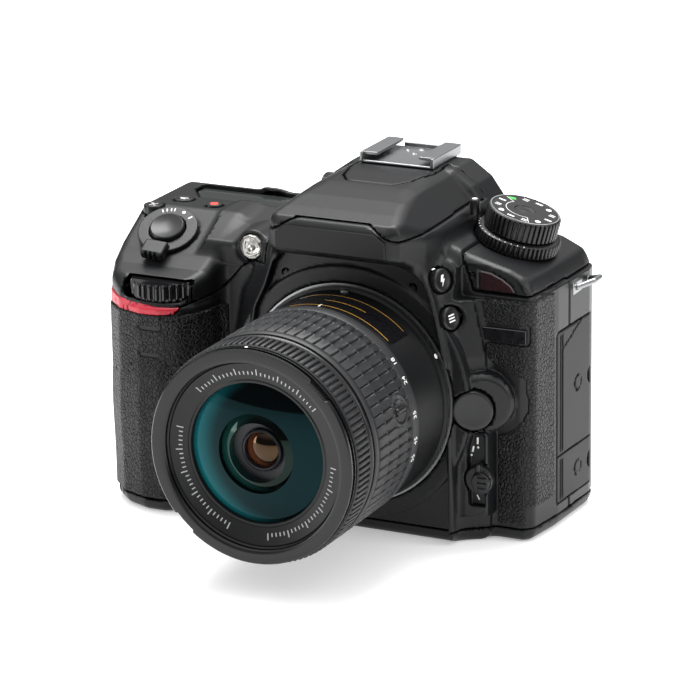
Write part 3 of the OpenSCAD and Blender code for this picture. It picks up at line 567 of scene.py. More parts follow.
def make_holes():
    """Everything cut out of the covers: (box, field) pairs."""
    out = [
        (((-25, -40, 15), (25, -20, 70)), rod_hole(1, (0, AXIS_Z), 24.1, -40, -20)),
        (((-34, -40, 8), (34, -32, 78)), rod_hole(1, (0, AXIS_Z), 33.4, -40, -32.6)),
        (((-73, -45, 62), (-48, -20, 73)), wheel_slot),
        (((-73, 0, 64), (-49, 23, 73)), rod_hole(2, REAR_WHEEL, 11.1, 65.4, 71.8, 0.4)),
        (around(PAD_C, 13), tilted_well(PAD_C, PAD_AXIS, 5.6, -4)),
        (around(PAD_C, 13), tilted_well(PAD_C, PAD_AXIS, 9.5, 0.15, 9, k=0.4)),
        (((-77, 0, 82), (-25, 20, 90)), display_recess),
        (((-41, -27, 75), (-30, -20, 86)), rod_hole(1, (LAMP_X, 80.2), 3.9, -27, -23.1)),
        (((33, -27, 78), (36, -21, 81)), rod_hole(1, (34.6, 79.4), 0.55, -27, -22)),
        (((36, -27, 74), (49, -21, 82)), window_hole),
        (((-13, 14, 74), (13, 30, 88)), box_hole((-12, 14, 75), (12, 30, 87), 2.5)),
        (((-40, 17, 2), (46, 30, 67)), box_hole((-39, 17.6, 3), (45, 30, 66), 1.2)),
        (((-59, 14, 42), (-55, 30, 46)), rod_hole(1, (SELECT_X, SELECT_Z), 3.2, 18.6, 30)),
        (((-90, -13, 13), (-78, 16, 57)), box_hole((-90, -12.1, 13.9), (-78.7, 15.1, 56.1), 0.6)),
        (((52, -9, 7), (60, 16, 61)), box_hole((52.6, -8.7, 7.4), (60, 15.1, 60.1), 0.6)),
        (((-77, -39, -3), (-49, -11, 5)), box_hole((-76.1, -38.1, -3), (-49.3, -11.9, 5), 0.8)),
        (((-8, -8, -3), (8, 8, 12)), rod_hole(2, (0, 0), 8, -3, 12)),
        (((26, -14, 75), (57, 14, 100)), tilted_well(DIAL_TOP, DIAL_AXIS, 13, -10.9, 3, k=0.3)),
        (((-35, 9, 85), (-26, 19, 95)), rod_hole(0, (14, 90), 4.5, -35, -26.1, 0.3)),
        (((25, -6, 88), (30, -2, 99)), rod_hole(2, (27.6, -4), 1.7, 90, 99)),
        (around(RELEASE_AT, 9), tilted_well(RELEASE_AT, RELEASE_AXIS, 6.3, -5, 6, UP)),
    ]
    for at, r in ((EV_AT, 3.35), (ISO_AT, 3.35), (RECORD_AT, 2.85)):
        out.append((around(at, 5), rod_hole(2, at[:2], r, at[2] - 4, 90)))
    for at in (FLASH_AT, BRACKET_AT):
        out.append((around(at, 6), tilted_well(at, FLANK_AXIS, 3.85, -4.5, 6, BACKWARD)))
    for bx, bz in REAR_BUTTONS:
        out.append((((bx - 4, 15, bz - 4), (bx + 4, 30, bz + 4)), rod_hole(1, (bx, bz), 3.1, 18.6, 30)))
    return out


def holes_field(p):
    d = np.full(len(p), 3.0)
    for (lo, hi), hole in HOLES:
        d = where(p, lo, hi, d, lambda q, v, hole=hole: np.minimum(v, hole(q)), 1.0)
    return d


HOLES = make_holes()


def shell_field(p):
    """The outer form, hollow and with its openings; negative in the plastic."""
    d = body_field(p)
    return less(both(d, -d - WALL), holes_field(p), 0.35)


def front_part(p, d):
    x, y, z = p.T
    d = both(d, poly_field(x, z, FRONT_MASK) + GAP, 0.3)
    d = both(d, y + GAP, 0.3)
    d = both(d, FOOT + GAP - z, 0.3)
    return less(d, flash_region(p) - GAP * 2, 0.3)


def rear_part(p, d):
    _, y, z = p.T
    return both(both(d, GAP - y, 0.3), np.abs(z - (REAR_TOP + FOOT) / 2) - (REAR_TOP - FOOT) / 2 + GAP, 0.3)


def top_part(p, d):
    x, y, z = p.T
    lower = either(both(poly_field(x, z, FRONT_MASK), y), both(z - REAR_TOP, -y)) - GAP
    return less(less(d, lower, 0.3), flash_region(p) - GAP * 2, 0.3)


def bottom_part(p, d):
    return both(d, p[:, 2] - FOOT + GAP, 0.3)


def flash_field(p):
    d = body_field(p)
    return both(both(d, -d - 1.6), flash_region(p) + GAP, 0.3)


# The four covers share one grid of the shell's values, so that their seams meet.
LO, HI = (-83, -47, -1.5), (57, 22.5, 105)
origin = np.array(LO, float) - 2 * CELL
outer = band(shell_field, origin, np.array(HI, float) + 2 * CELL, CELL, 1.0)
index = np.array(np.nonzero(np.abs(outer) < 8)).T
points = index * CELL + origin

for name, part in (("front_cover", front_part), ("rear_cover", rear_part), ("top_cover", top_part),
                   ("bottom_cover", bottom_part)):
    grid = np.full(outer.shape, 9, np.float32)
    grid[tuple(index.T)] = part(points, outer[tuple(index.T)].astype(float))
    cover = field_object(name, lambda p, part=part: part(p, shell_field(p)), origin, HI, CELL, grid)
    dress(cover, "body", "cover_plastic", stands_for=name)
flash = field_object("flash_head", flash_field, (-28, -47, 90), (28, 9, 104), CELL * 0.8)
dress(flash, "flash_head", "cover_plastic", stands_for="flash_head")


# ---- Turned, extruded and laid-on pieces ----


SHARP = 38  # degrees


def solid(name, co, faces, sharp=SHARP):
    """A mesh from millimetre points, smooth but for edges over sharp degrees."""
    mesh = bpy.data.meshes.new(name)
    mesh.from_pydata((np.asarray(co) * MM).tolist(), [], faces)
    mesh.polygons.foreach_set("use_smooth", np.ones(len(mesh.polygons), bool))
    mesh.set_sharp_from_angle(angle=math.radians(sharp))
    return linked(name, mesh)


def placed(origin, z_axis, x_axis):
    """Takes points of a tilted frame to the object's."""
    turn = basis(x_axis, z_axis)
    return lambda q: np.asarray(q, float) @ turn + np.array(origin, float)


LENS = placed((0, 0, AXIS_Z), FORWARD, UP)
FRONT = placed((0, 0, 0), FORWARD, RIGHT)
BACK = placed((0, 0, 0), BACKWARD, LEFT)


def turned(name, profile, to_world, steps=128, wave=None, ring=False, sharp=SHARP):
    """A turned piece: profile is (radius, height) pairs; wave(angle, radius, height) gives new radii."""
    r, h = np.array(profile, float).T
    t = np.arange(steps) / steps * 2 * math.pi
    tt, rr = np.meshgrid(t, r, indexing="ij")
    hh = np.tile(h, (steps, 1))
    if wave:
        rr = wave(tt, rr, hh)
    co = to_world(np.stack([rr * np.cos(tt), rr * np.sin(tt), hh], -1).reshape(-1, 3))
    n = len(r)
    faces = []
    for i in range(steps):
        j = (i + 1) % steps
        for k in range(n if ring else n - 1):
            m = (k + 1) % n
            faces.append((i * n + k, j * n + k, j * n + m, i * n + m))
    if not ring:
        faces.append(tuple(i * n for i in reversed(range(steps))))
        faces.append(tuple(i * n + n - 1 for i in range(steps)))
    return solid(name, co, faces, sharp)


def ribs(t, n, depth, land, edge):
    """Radius change of n ribs: 0 on a rib, -depth between; land is a rib's share of the pitch."""
    d = np.abs(((t * n / (2 * math.pi)) % 1) - 0.5) * 2
    s = np.clip((d - land + edge) / (2 * edge), 0, 1)
    return -depth * s * s * (3 - 2 * s)


def slab(name, corners, lo, hi, to_world, edge=0.12):
    """An extruded outline between two heights, its top edge chamfered."""
    c = counterclockwise(corners)
    small = inset(c, edge)
    n = len(c)
    rings = [(c, lo), (c, hi - edge), (small, hi)]
    co = np.concatenate([np.column_stack([q, np.full(n, z)]) for q, z in rings])
    faces = [tuple(reversed(range(n))), tuple(range(2 * n, 3 * n))]
    for k in (0, n):
        faces += [(k + i, k + (i + 1) % n, k + n + (i + 1) % n, k + n + i) for i in range(n)]
    return solid(name, to_world(co), faces)


def disc(u, v, r):
    a = np.arange(24) / 24 * 2 * math.pi
    return np.column_stack([u + r * np.cos(a), v + r * np.sin(a)])


def bar(u0, v0, u1, v1, w):
    """A thin rectangle along a line."""
    d = np.array([u1 - u0, v1 - v0], float)
    n = np.array([-d[1], d[0]]) / np.linalg.norm(d) * w / 2
    a, b = np.array([u0, v0]), np.array([u1, v1])
    return np.array([a - n, b - n, b + n, a + n])


def joined(name, pieces):
    """Several meshes made into one."""
    bm = bmesh.new()
    for o in pieces:
        bm.from_mesh(o.data)
        bpy.data.objects.remove(o)
    mesh = bpy.data.meshes.new(name)
    bm.to_mesh(mesh)
    bm.free()
    mesh.set_sharp_from_angle(angle=math.radians(SHARP))
    return linked(name, mesh)


def marks(name, outlines, lo, hi, to_world):
    """Flat shapes laid on a surface, as one mesh."""
    return joined(name, [slab(f"{name}_{i}", c, lo, hi, to_world, 0.02) for i, c in enumerate(outlines)])


def on_barrel(radius, top, y):
    """Wraps a flat (u, v, height) layer round the lens: u is to the photographer's right, v to the front."""
    def wrap(q):
        q = np.asarray(q, float)
        a = math.radians(top) - q[:, 0] / radius
        r = radius + q[:, 2]
        return np.column_stack([r * np.sin(a), y - q[:, 1], AXIS_Z + r * np.cos(a)])
    return wrap


def numeral(name, text, size, wrap):
    """Digits from the built-in font, laid on a surface."""
    lift, thick = 0.02, 0.05
    curve = bpy.data.curves.new(name, "FONT")
    curve.body = text
    curve.size = size
    curve.align_x = "CENTER"
    curve.align_y = "CENTER"
    curve.resolution_u = 3
    curve.extrude = thick / 2
    holder = linked(name, curve)
    bpy.context.view_layer.update()
    mesh = bpy.data.meshes.new_from_object(holder.evaluated_get(bpy.context.evaluated_depsgraph_get()))
    bpy.data.objects.remove(holder)
    co = np.empty(len(mesh.vertices) * 3)
    mesh.vertices.foreach_get("co", co)
    co = co.reshape(-1, 3)
    co[:, 2] += lift + thick / 2
    mesh.vertices.foreach_set("co", (wrap(co) * MM).ravel())
    mesh.materials.clear()
    mesh.update()
    return linked(name, mesh)


# ---- Finishes of the carried-over nodes ----


def clear_glass(name, colour, rough, ior, through):
    """See-through glass with a mirror reflection that grows towards grazing angles."""
    _, nodes, links, b = principled(name, colour, rough, 1)
    clear = nodes.new("ShaderNodeBsdfTransparent")
    clear.inputs["Color"].default_value = (*through, 1)
    fresnel = nodes.new("ShaderNodeFresnel")
    fresnel.inputs["IOR"].default_value = ior
    mix = nodes.new("ShaderNodeMixShader")
    links.new(fresnel.outputs[0], mix.inputs["Fac"])
    links.new(clear.outputs[0], mix.inputs[1])
    links.new(b.outputs[0], mix.inputs[2])
    links.new(mix.outputs[0], nodes["Material Output"].inputs["Surface"])


GLASS_BLACK = (0.0012, 0.0014, 0.0016)


def painted_reflection_glass(name, tint, gloss, x, z, first, last, colour):
    """Lens glass seen from outside: black, with the coloured reflection of its coating painted into the base
    colour, growing from first to last mm away from (x, z).
    """
    m = material(name, GLASS_BLACK, 0.035, gloss=gloss)
    nodes, links = m.node_tree.nodes, m.node_tree.links
    b = nodes["Principled BSDF"]
    b.inputs["Specular Tint"].default_value = (*tint, 1)
    place = nodes.new("ShaderNodeTexCoord").outputs["Object"]
    flat = nodes.new("ShaderNodeVectorMath")
    flat.operation = "MULTIPLY"
    flat.inputs[1].default_value = (1, 0, 1)
    links.new(place, flat.inputs[0])
    gap = nodes.new("ShaderNodeVectorMath")
    gap.operation = "DISTANCE"
    gap.inputs[1].default_value = (x * MM, 0, z * MM)
    links.new(flat.outputs[0], gap.inputs[0])
    share = nodes.new("ShaderNodeMapRange")
    share.interpolation_type = "SMOOTHSTEP"
    share.inputs["From Min"].default_value = first * MM
    share.inputs["From Max"].default_value = last * MM
    links.new(gap.outputs["Value"], share.inputs["Value"])
    # Painted reflection: the base colour goes from black to the coating's reflected colour with the distance
    # from (x, z).
    mix = nodes.new("ShaderNodeMix")
    mix.data_type = "RGBA"
    mix.inputs["A"].default_value = (*GLASS_BLACK, 1)
    mix.inputs["B"].default_value = (*colour, 1)
    links.new(share.outputs["Result"], mix.inputs["Factor"])
    links.new(mix.outputs["Result"], b.inputs["Base Color"])


# Painted reflections of the coatings: teal on the front element, green on the second, amber on the third.
painted_reflection_glass("front_glass", (0.25, 0.85, 0.95), 0.16, 8, 44.5, 20, 28.5, (0.004, 0.075, 0.085))
painted_reflection_glass("inner_glass", (0.55, 0.9, 0.75), 0.2, 5, 43.5, 10, 17, (0.006, 0.035, 0.03))
painted_reflection_glass("deep_glass", (1.0, 0.62, 0.35), 0.5, 2.5, 43.5, 4, 8, (0.10, 0.03, 0.012))
clear_glass("clear_glass", (0.9, 0.9, 0.9), 0.02, 1.55, (0.92, 0.95, 0.95))
material("lamp_lens", (0.40, 0.39, 0.37), 0.2, 0.7)
material("coated_glass", (0.02, 0.09, 0.09), 0.05, coat=0.8)
material("ir_plastic", (0.018, 0.006, 0.007), 0.12, coat=0.5)
material("pit_black", (0.003, 0.003, 0.0035), 0.7)
material("stop_blue", (0.006, 0.0065, 0.009), 0.4, gloss=0.3)
material("satin_black", (0.0055, 0.0057, 0.0062), 0.36, gloss=0.24)
material("barrel_ring", (0.006, 0.0062, 0.0067), 0.26, gloss=0.3)
material("display_window", (0.022, 0.026, 0.024), 0.12, coat=0.3)
material("picture_area", (0.011, 0.012, 0.013), 0.07, coat=0.4)

# CAD nodes that are shown as they are.
for mat, nodes in (("frame_plastic", "mirror_box shutter_unit lcd_arm"), ("board_green", "main_board"),
                   ("clear_glass", "focusing_screen pentaprism eyepiece_lens"),
                   ("steel", "tripod_socket mount_ring"),
                   ("coated_glass", "image_sensor rear_element"), ("mirror_glass", "main_mirror sub_mirror"),
                   ("battery_grey", "battery"), ("screw_black", "cover_screws")):
    for node in nodes.split():
        mesh = bpy.data.objects[node].data
        mesh.materials.clear()
        mesh.materials.append(MATS[mat])


# ---- Lens ----

BARREL_R = 31.5
TILES, TILE_ROWS = 66, (-62.6, -68.8, -75)
FOCUS_RIBS = 112
RIM_NOTCHES = (-44, 136)  # degrees


def lens_piece(name, profile, mat, slot, body, steps, ring=True, new=False, **kw):
    """A turned piece on the lens axis, its profile in (radius, y). It replaces its node unless it is new."""
    obj = turned(name, [(r, -y) for r, y in profile], LENS, steps, ring=ring, **kw)
    return dress(obj, body, mat, slot, None if new else name)


# Fixed barrel: rounded front edge, smooth body, flange at the mount; the bayonet and guide tubes inside.
lens_piece("fixed_barrel", [
    (30, -54.3), (31.1, -54.35), (31.45, -54.1), (31.5, -53.6), (31.5, -38.6), (31.7, -38.2), (31.7, -36.6),
    (32.5, -36.2), (32.6, -35.4), (32.4, -34.75), (30.5, -34.6), (22.4, -34.6), (22.4, -29.6), (20.6, -29.6),
    (20.6, -34.9), (13.1, -34.9), (13.1, -36.5), (26, -36.6), (26, -80), (27.8, -80), (27.8, -37.4),
    (30, -37.4)],
    "lens_barrel_plastic", "lens_barrel_plastic", "lens_mount", 160)


def tile_wave(t, r, h):
    """Tiles of the zoom grip: a groove every pitch and three rows of small cross bars beside it."""
    y = -h
    grip = (y < -58.9) & (y > -80.1) & (r > 31.6)
    d = np.abs(((t * TILES / (2 * math.pi)) % 1) - 0.5) * 2
    groove = np.clip((d - 0.80) / 0.1, 0, 1)
    tick = np.zeros_like(r)
    for row in TILE_ROWS:
        tick = np.maximum(tick, np.clip(1.6 - np.abs(y - row) / 0.26, 0, 1))
    tick = tick * np.clip((d - 0.40) / 0.1, 0, 1)
    return r + grip * (-0.62 * groove * (1 - tick * 0.75) + 0.16 * tick)


zoom_rows = [-59.1] + [row + d for row in TILE_ROWS for d in (0.45, 0.16, -0.16, -0.45)] + [-79.9]
lens_piece("zoom_ring", [
    (30.3, -54.7), (31.8, -54.7), (32.15, -55.05), (32.15, -58.4),
    (32.0, -58.75)] + [(32.12, y) for y in zoom_rows] + [
    (31.95, -80.2), (31.6, -80.5), (31.6, -81.1), (32.15, -81.4), (32.2, -82.6), (31.9, -83.1),
    (29.9, -83.15), (29.9, -79.8), (27.95, -79.6), (27.95, -78.1), (29.9, -78), (29.9, -56.1), (27.95, -56),
    (27.95, -54.7)],
    "lens_rubber", "lens_rubber", "zoom_ring", TILES * 14, wave=tile_wave)


def rim_wave(t, r, h):
    """Two notches of the hood bayonet in the front rim."""
    lip = (h > 95.2) & (r > 30.4)
    for notch in RIM_NOTCHES:
        gap = np.abs((np.degrees(t) - notch + 180) % 360 - 180)
        r = np.where(lip, r - 0.75 * np.clip((7 - gap) / 0.8, 0, 1), r)
    return r


# Inner barrel: a tube, a rib behind the focus ring, its neck, and the front rim with the filter thread.
THREAD_PITCH = 0.45
thread = []
for i in range(4):
    thread += [(27.7, -95.15 - i * THREAD_PITCH), (27.45, -95.37 - i * THREAD_PITCH)]
lens_piece("inner_barrel", [
    (25.9, -50.1), (25.9, -83.7), (31.3, -83.6), (31.75, -83.9), (31.78, -84.3), (31.55, -84.7),
    (31.2, -85.2), (29.6, -85.25), (29.6, -94.1), (31.2, -94.1), (31.35, -94.4), (31.3, -94.75),
    (30.35, -94.8), (30.35, -95.55), (31.1, -95.6), (31.25, -95.95), (31.2, -96.6), (30.85, -96.95),
    (30.2, -97.0), (28.6, -97.0), (28.0, -96.95)] + thread[::-1] + [
    (27.9, -94.9), (27.9, -85.6), (24, -85.4), (24, -50.1)],
    "barrel_ring", "lens_barrel_plastic", "inner_barrel", 360, wave=rim_wave)

lens_piece("focus_ring", [
    (29.7, -85.5), (31.3, -85.5), (31.7, -85.7), (31.8, -86.05), (32.02, -86.3), (32.15, -86.6),
    (32.15, -93.0), (32.02, -93.3), (31.75, -93.55), (31.5, -93.85), (29.7, -93.9)],
    "lens_rubber", "lens_rubber", "focus_ring", FOCUS_RIBS * 8,
    wave=lambda t, r, h: r + (r > 31.95) * ribs(t, FOCUS_RIBS, 0.75, 0.58, 0.14))

# Name ring: a stepped cone with a scale of plain ticks where a lens carries its data.
lens_piece("lens_bezel", [
    (24.2, -88), (27.75, -88), (27.75, -94.5), (27.3, -94.62), (26.9, -94.2), (26.5, -94.35), (21.6, -92.9),
    (21.2, -93.1), (20.62, -93.0), (20.5, -92.7), (20.5, -91)],
    "satin_black", "lens_barrel_plastic", "inner_barrel", 160, sharp=25)


def on_cone(q):
    """Flat ring coordinates laid on the name ring's cone."""
    q = np.asarray(q, float)
    r = np.hypot(q[:, 0], q[:, 1])
    y = -92.93 - (r - 21.6) * (94.35 - 92.93) / (26.5 - 21.6) - q[:, 2]
    return np.column_stack([q[:, 0], y, AXIS_Z + q[:, 1]])


def ring_ticks(first, last):
    """Ticks from one angle to another, every fifth one long."""
    r0, r1, step, width = 23.1, 25, 3.2, 0.34
    out = []
    for i, a in enumerate(np.arange(first, last + 0.1, step)):
        s, c = math.sin(math.radians(a)), math.cos(math.radians(a))
        top = r1 if i % 5 == 0 else r0 + (r1 - r0) * 0.55
        out.append(bar(r0 * s, r0 * c, top * s, top * c, width)[::-1])
    return out


ticks = ring_ticks(-46, 50) + ring_ticks(92, 172) + ring_ticks(202, 282)
dress(marks("ring_scale", ticks, 0.0, 0.06, on_cone), "inner_barrel", "grey_mark", "lens_barrel_plastic")


# Glass: the domed front element, and behind it two smaller ones with the stop between them.
def dome(radius, rim, height, last, n=14):
    """Profile points of a shallow dome, from its rim in to a share of its radius."""
    return [(radius * k, rim - height * (1 - k * k)) for k in np.linspace(1, last, n)]


lens_piece("front_element", [(11.6, -87.5), (20.45, -87.5)] + dome(20.45, -91.6, 2.6, 11.6 / 20.45),
           "front_glass", "coated_glass", "inner_barrel", 128, sharp=60)
lens_piece("second_element", [(8.7, -86.5), (11.7, -86.5)] + dome(11.7, -91.5, 2.4, 8.7 / 11.7, 8),
           "inner_glass", "coated_glass", "inner_barrel", 96, new=True, sharp=60)
lens_piece("lens_stop", [(8.9, -91.2), (8.8, -89.4), (6.3, -89.0), (6.1, -90.0), (5.7, -90.3), (5.3, -90.0),
                         (5.2, -88), (8.9, -88)],
           "stop_blue", "lens_barrel_plastic", "inner_barrel", 96, new=True)
lens_piece("third_element", [(5.4, -86)] + dome(5.4, -88.2, 1.6, 0.04, 10),
           "deep_glass", "coated_glass", "inner_barrel", 64, ring=False, new=True, sharp=60)

# Focal lengths, index marks and the plain label with its gold line.
for text, top in (("18", 52.6), ("24", 63.4), ("35", 81.8), ("45", 95.6), ("55", 105.3)):
    figure = numeral("focal_" + text, text, 2.5, on_barrel(32.15, top, -57))
    dress(figure, "zoom_ring", "white_mark", "lens_rubber")
index_line = [bar(0, -1.1, 0, 0.9, 0.5), disc(0, 2.0, 0.62)]
for name, shapes, thick, wrap, body in (
        ("zoom_index", index_line, 0.06, on_barrel(BARREL_R, 0, -51.9), "lens_mount"),
        ("rim_index", [disc(0, 0, 0.5)], 0.06, on_barrel(31.33, -3, -94.45), "inner_barrel"),
        ("release_index", [disc(0, 0, 0.75)], 0.08, on_barrel(32.55, 62, -35.9), "lens_mount")):
    dress(marks(name, shapes, 0.0, thick, wrap), body, "white_mark", "lens_barrel_plastic")
index_dot = turned("mount_index", [(1.25, 0), (1.25, 0.5), (0.95, 0.85), (0.4, 1.0)],
                   on_barrel(31.6, 1.4, -37.4), 24)
dress(index_dot, "lens_mount", "steel", "lens_barrel_plastic")


def arc_panel(name, first, last, y0, y1, lift, mat):
    """A thin panel wrapped round the fixed barrel between two angles."""
    nx = 30
    a = np.radians(np.linspace(first, last, nx))
    co, faces = [], []
    for r in (BARREL_R - 0.15, BARREL_R + lift):
        for y in (y0, y1):
            co += [(r * math.sin(t), y, AXIS_Z + r * math.cos(t)) for t in a]
    for i in range(nx - 1):
        j = i + 1
        faces += [(2 * nx + i, 3 * nx + i, 3 * nx + j, 2 * nx + j), (i, j, nx + j, nx + i),
                  (i, 2 * nx + i, 2 * nx + j, j), (nx + i, nx + j, 3 * nx + j, 3 * nx + i)]
    faces += [(0, nx, 3 * nx, 2 * nx), (nx - 1, 3 * nx - 1, 4 * nx - 1, 2 * nx - 1)]
    return dress(solid(name, co, faces), "lens_mount", mat, "lens_barrel_plastic")


arc_panel("barrel_label", -21, 45, -52.4, -40.4, 0.06, "gloss_black")
for k, extent in enumerate(((-18, 42, -41.5, -41.2), (-18, 42, -51.6, -51.3), (-2, 22, -46.6, -46.25))):
    arc_panel(f"label_line_{k}", *extent, 0.09, "gold_mark")

# Retract button: an oval dish with a raised ridge, sunk in the zoom ring.
RETRACT_AT, RETRACT_TURN = (0, -65, AXIS_Z), math.radians(75)
RETRACT_AXIS = (math.sin(RETRACT_TURN), 0, math.cos(RETRACT_TURN))
dress(turned("retract_button", [(4.85, 29.4), (4.85, 31.75), (4.5, 32.1), (3.7, 32.15), (3.3, 31.95),
                                (1.2, 31.9), (0.2, 31.9)], placed(RETRACT_AT, RETRACT_AXIS, FORWARD), 64),
      "retract_button", "button_plastic", stands_for="retract_button")


def ridge_field(p):
    return box_field(in_frame(p, RETRACT_AT, FORWARD, RETRACT_AXIS), (-2.9, -1.0, 31), (2.9, 1.0, 33.1), 0.85)


dress(field_object("retract_ridge", ridge_field, (29, -69, 44), (34, -61, 56), 0.28),
      "retract_button", "button_plastic")


# ---- Liner, skins and trim ----


# Kept free by the liner: mirror box, wheels, eyepiece, screen, doors, socket, diopter dial, flash pivot.
LINER_GAPS = [((-24.6, -60, 18), (24.6, -18, 67)), ((-80, -45, 62), (-48, -20, 74)),
              ((-73, 0, 64), (-49, 30, 73)), ((-13, 12, 74), (13, 30, 88)), ((-40, 15, 2), (46, 30, 67)),
              ((-90, -12, 14), (-76, 15, 56)), ((50, -8.5, 8), (60, 15, 60)), ((-76, -38, -3), (-50, -12, 8)),
              ((-9, -9, -3), (9, 9, 12)), ((-35, 9, 85), (-24, 19, 95)), ((-28, -2, 92), (28, 9.5, 101))]


def liner_field(p):
    """A dark inner case under the covers, so no seam shows daylight."""
    d = body_field(p)
    d = both(d + WALL + 1.4, -d - WALL - 2.4)
    for lo, hi in LINER_GAPS:
        d = less(d, box_field(p, lo, hi))
    return less(d, rod_field(in_frame(p, DIAL_TOP, RIGHT, DIAL_AXIS), 2, (0, 0), 13, -14, 3))


dress(field_object("inner_case", liner_field, LO, HI, 1.4), "body", "pit_black", "frame_plastic")


def bay_field(p):
    """Floor of the well that the flash head folds into."""
    d = body_field(p)
    return both(both(both(d + 2.3, -d - 3.5), flash_region(p) - 0.6, 0.3), p[:, 1] + 3)


dress(field_object("flash_bay", bay_field, (-28, -47, 88), (28, -2, 102)), "body", "frame_plastic")


def skin_field(region, thick):
    """A skin thick mm proud of the body inside a region field, and 0.5 mm let into it."""
    def field(p):
        d = body_field(p)
        return both(both(d - thick, -d - 0.5), region(p), 0.35)
    return field


def grip_region(p):
    """All round the grip below the wheel."""
    x, y, z = p.T
    plan = poly_field(x, y, [(-90, -60), (-90, 14), (-76, 14), (-76, -12), (-60, -12), (-44, -12),
                             (-44, -60)])
    d = both(between(z, 4.7, 61.7), plan, 0.5)
    # The card door keeps its opening, and the skin ends short of it.
    return less(d, box_field(p, (-90, -13, 12.8), (-78, 30, 57.4)))


def stripe_region(p):
    """Coloured stripe above the grip: thick at the outer side, with a slanted inner end."""
    x, y, z = p.T
    run = np.clip((x + 80) / 27, 0, 1)
    d = between(z, 62.0 - 0.5 * np.sin(math.pi * run), 66.6 - 2.6 * np.sqrt(run))
    d = both(d, y + 29.5 - 0.4 * (z - 64))
    return both(d, x + 53.4 - 0.9 * (z - 62), 0.2)


def side_region(p):
    """Leather beside the mount, cut out for the lens release, the corner and the badge."""
    x, y, z = p.T
    front = poly_field(x, z, [(42.9, 5.4), (42.9, 32), (44, 36), (52, 40), (51.5, 50), (41, 54), (39.6, 58),
                              (38.4, 73.3), (70, 73.3), (70, 5.4)], 0.8)
    d = both(front, y + 10.6, 0.3)
    d = less(d, rod_field(p, 1, (41.4, 43), 10.6, -40, -10))
    d = less(d, both(51.4 - x, z - 10.8, 1.5))
    return less(d, box_field(p, (37.6, -40, 60.2), (52.6, -18, 65.8), 0.6))


def thumb_region(p):
    """Rear thumb rest, cut out for the selector and the buttons."""
    x, y, z = p.T
    outline = [(-75.4, 7.6), (-75.4, 58), (-60, 60.5), (-53, 55), (-41.4, 53), (-41.4, 7.6)]
    d = both(poly_field(x, z, outline, 3), 18 - y)
    d = less(d, rod_field(p, 1, (SELECT_X, SELECT_Z), 9.8, 10, 40))
    for at in GRIP_SIDE_BUTTONS:
        d = less(d, rod_field(p, 1, at, 3.9, 10, 40))
    return d


for name, region, thick, lo, hi, mat, cell in (
        ("grip_rubber", grip_region, 0.7, (-82, -45, 4), (-43, 14, 62.5), "rubber_grain", CELL),
        ("side_rubber", side_region, 0.6, (36, -26, 4.8), (56.5, -9, 74), "rubber_grain", CELL),
        ("thumb_rubber", thumb_region, 1.1, (-77, 18, 6), (-40, 22, 62), "rubber_grain", CELL),
        ("grip_trim", stripe_region, 0.35, (-82, -46, 61), (-50, -28, 68), "trim_red", CELL * 0.7)):
    dress(field_object(name, skin_field(region, thick), lo, hi, cell), "body", mat, stands_for=name)

dress(slab("nameplate", mirrored([(-17.4, 87.5), (-17.4, 92.3), (-13.8, 94.7)]), 45.0, 45.42, FRONT, 0.25),
      "body", "satin_black", "cover_plastic")
dress(slab("badge_plate", [(38.5, 60.9), (38.1, 64.7), (52.0, 64.9), (52.0, 60.9)], 23.6, 24.75, FRONT, 0.2),
      "body", "gloss_black", "cover_plastic", "badge_plate")
dress(slab("ir_window", IR_OUTLINE, 22.0, 23.15, FRONT, 0.35),
      "body", "ir_plastic", "screen_glass", "ir_window")

# The focus lamp: a rim and an eleven-sided faceted lens.
lamp = turned("af_lamp", [(3.75, 22.9), (3.75, 25.0), (3.45, 25.35), (3.1, 25.1)] + [
    (3.1 * k, 25.1 + 0.5 * (1 - k * k) + 0.22 * math.sin(9 * k)) for k in np.linspace(0.9, 0.06, 9)],
    placed((LAMP_X, 0, 80.3), FORWARD, RIGHT), steps=11,
    wave=lambda t, r, h: r * np.where(r > 3.05, 1, 1 + 0.14 * np.sin(3 * t + 7 * h)), sharp=5)
dress(lamp, "body", "lamp_lens", stands_for="af_lamp")


# ---- Hot shoe and lugs ----


def shoe_field(p):
    """Plate, two side walls with rails bent in over it, four contacts and a stop."""
    x, y, z = p.T
    ax = np.abs(x)
    plate = box_field(p, (-11.8, 0.2, 102.3), (11.8, 20.2, 103.2), 0.2)
    wall = both(both(10.9 - ax, ax - 12.0), np.maximum(np.abs(z - 104.1) - 1.5, np.abs(y - 10) - 10), 0.25)
    rail = both(both(6.7 - ax, ax - 12.0), np.maximum(np.abs(z - 105.15) - 0.5, np.abs(y - 10) - 10), 0.3)
    nib = less(rail, box_field(p, (-20, -2, 100), (20, 1.1, 110)))
    contacts = np.minimum.reduce([rod_field(p, 2, c, 0.85, 102.6, 103.5, 0.2) for c in (
        (0, 12.5), (-3.4, 15.4), (3.4, 15.4), (0, 17.4))])
    stop = box_field(p, (-6.4, 19.2, 102.4), (6.4, 20.2, 104.6), 0.3)
    return np.minimum.reduce([plate, wall, nib, contacts, stop])


dress(field_object("hot_shoe", shoe_field, (-13, -1, 102), (13, 21, 106), 0.3),
      "body", "steel", stands_for="hot_shoe")


def rod_path(p, points, r):
    """A round bar bent along points."""
    best = np.full(len(p), 1e9)
    pts = np.array(points, float)
    for a, b in zip(pts[:-1], pts[1:]):
        e = b - a
        t = np.clip((p - a) @ e / (e @ e), 0, 1)
        best = np.minimum(best, np.linalg.norm(p - a - t[:, None] * e, axis=1))
    return best - r


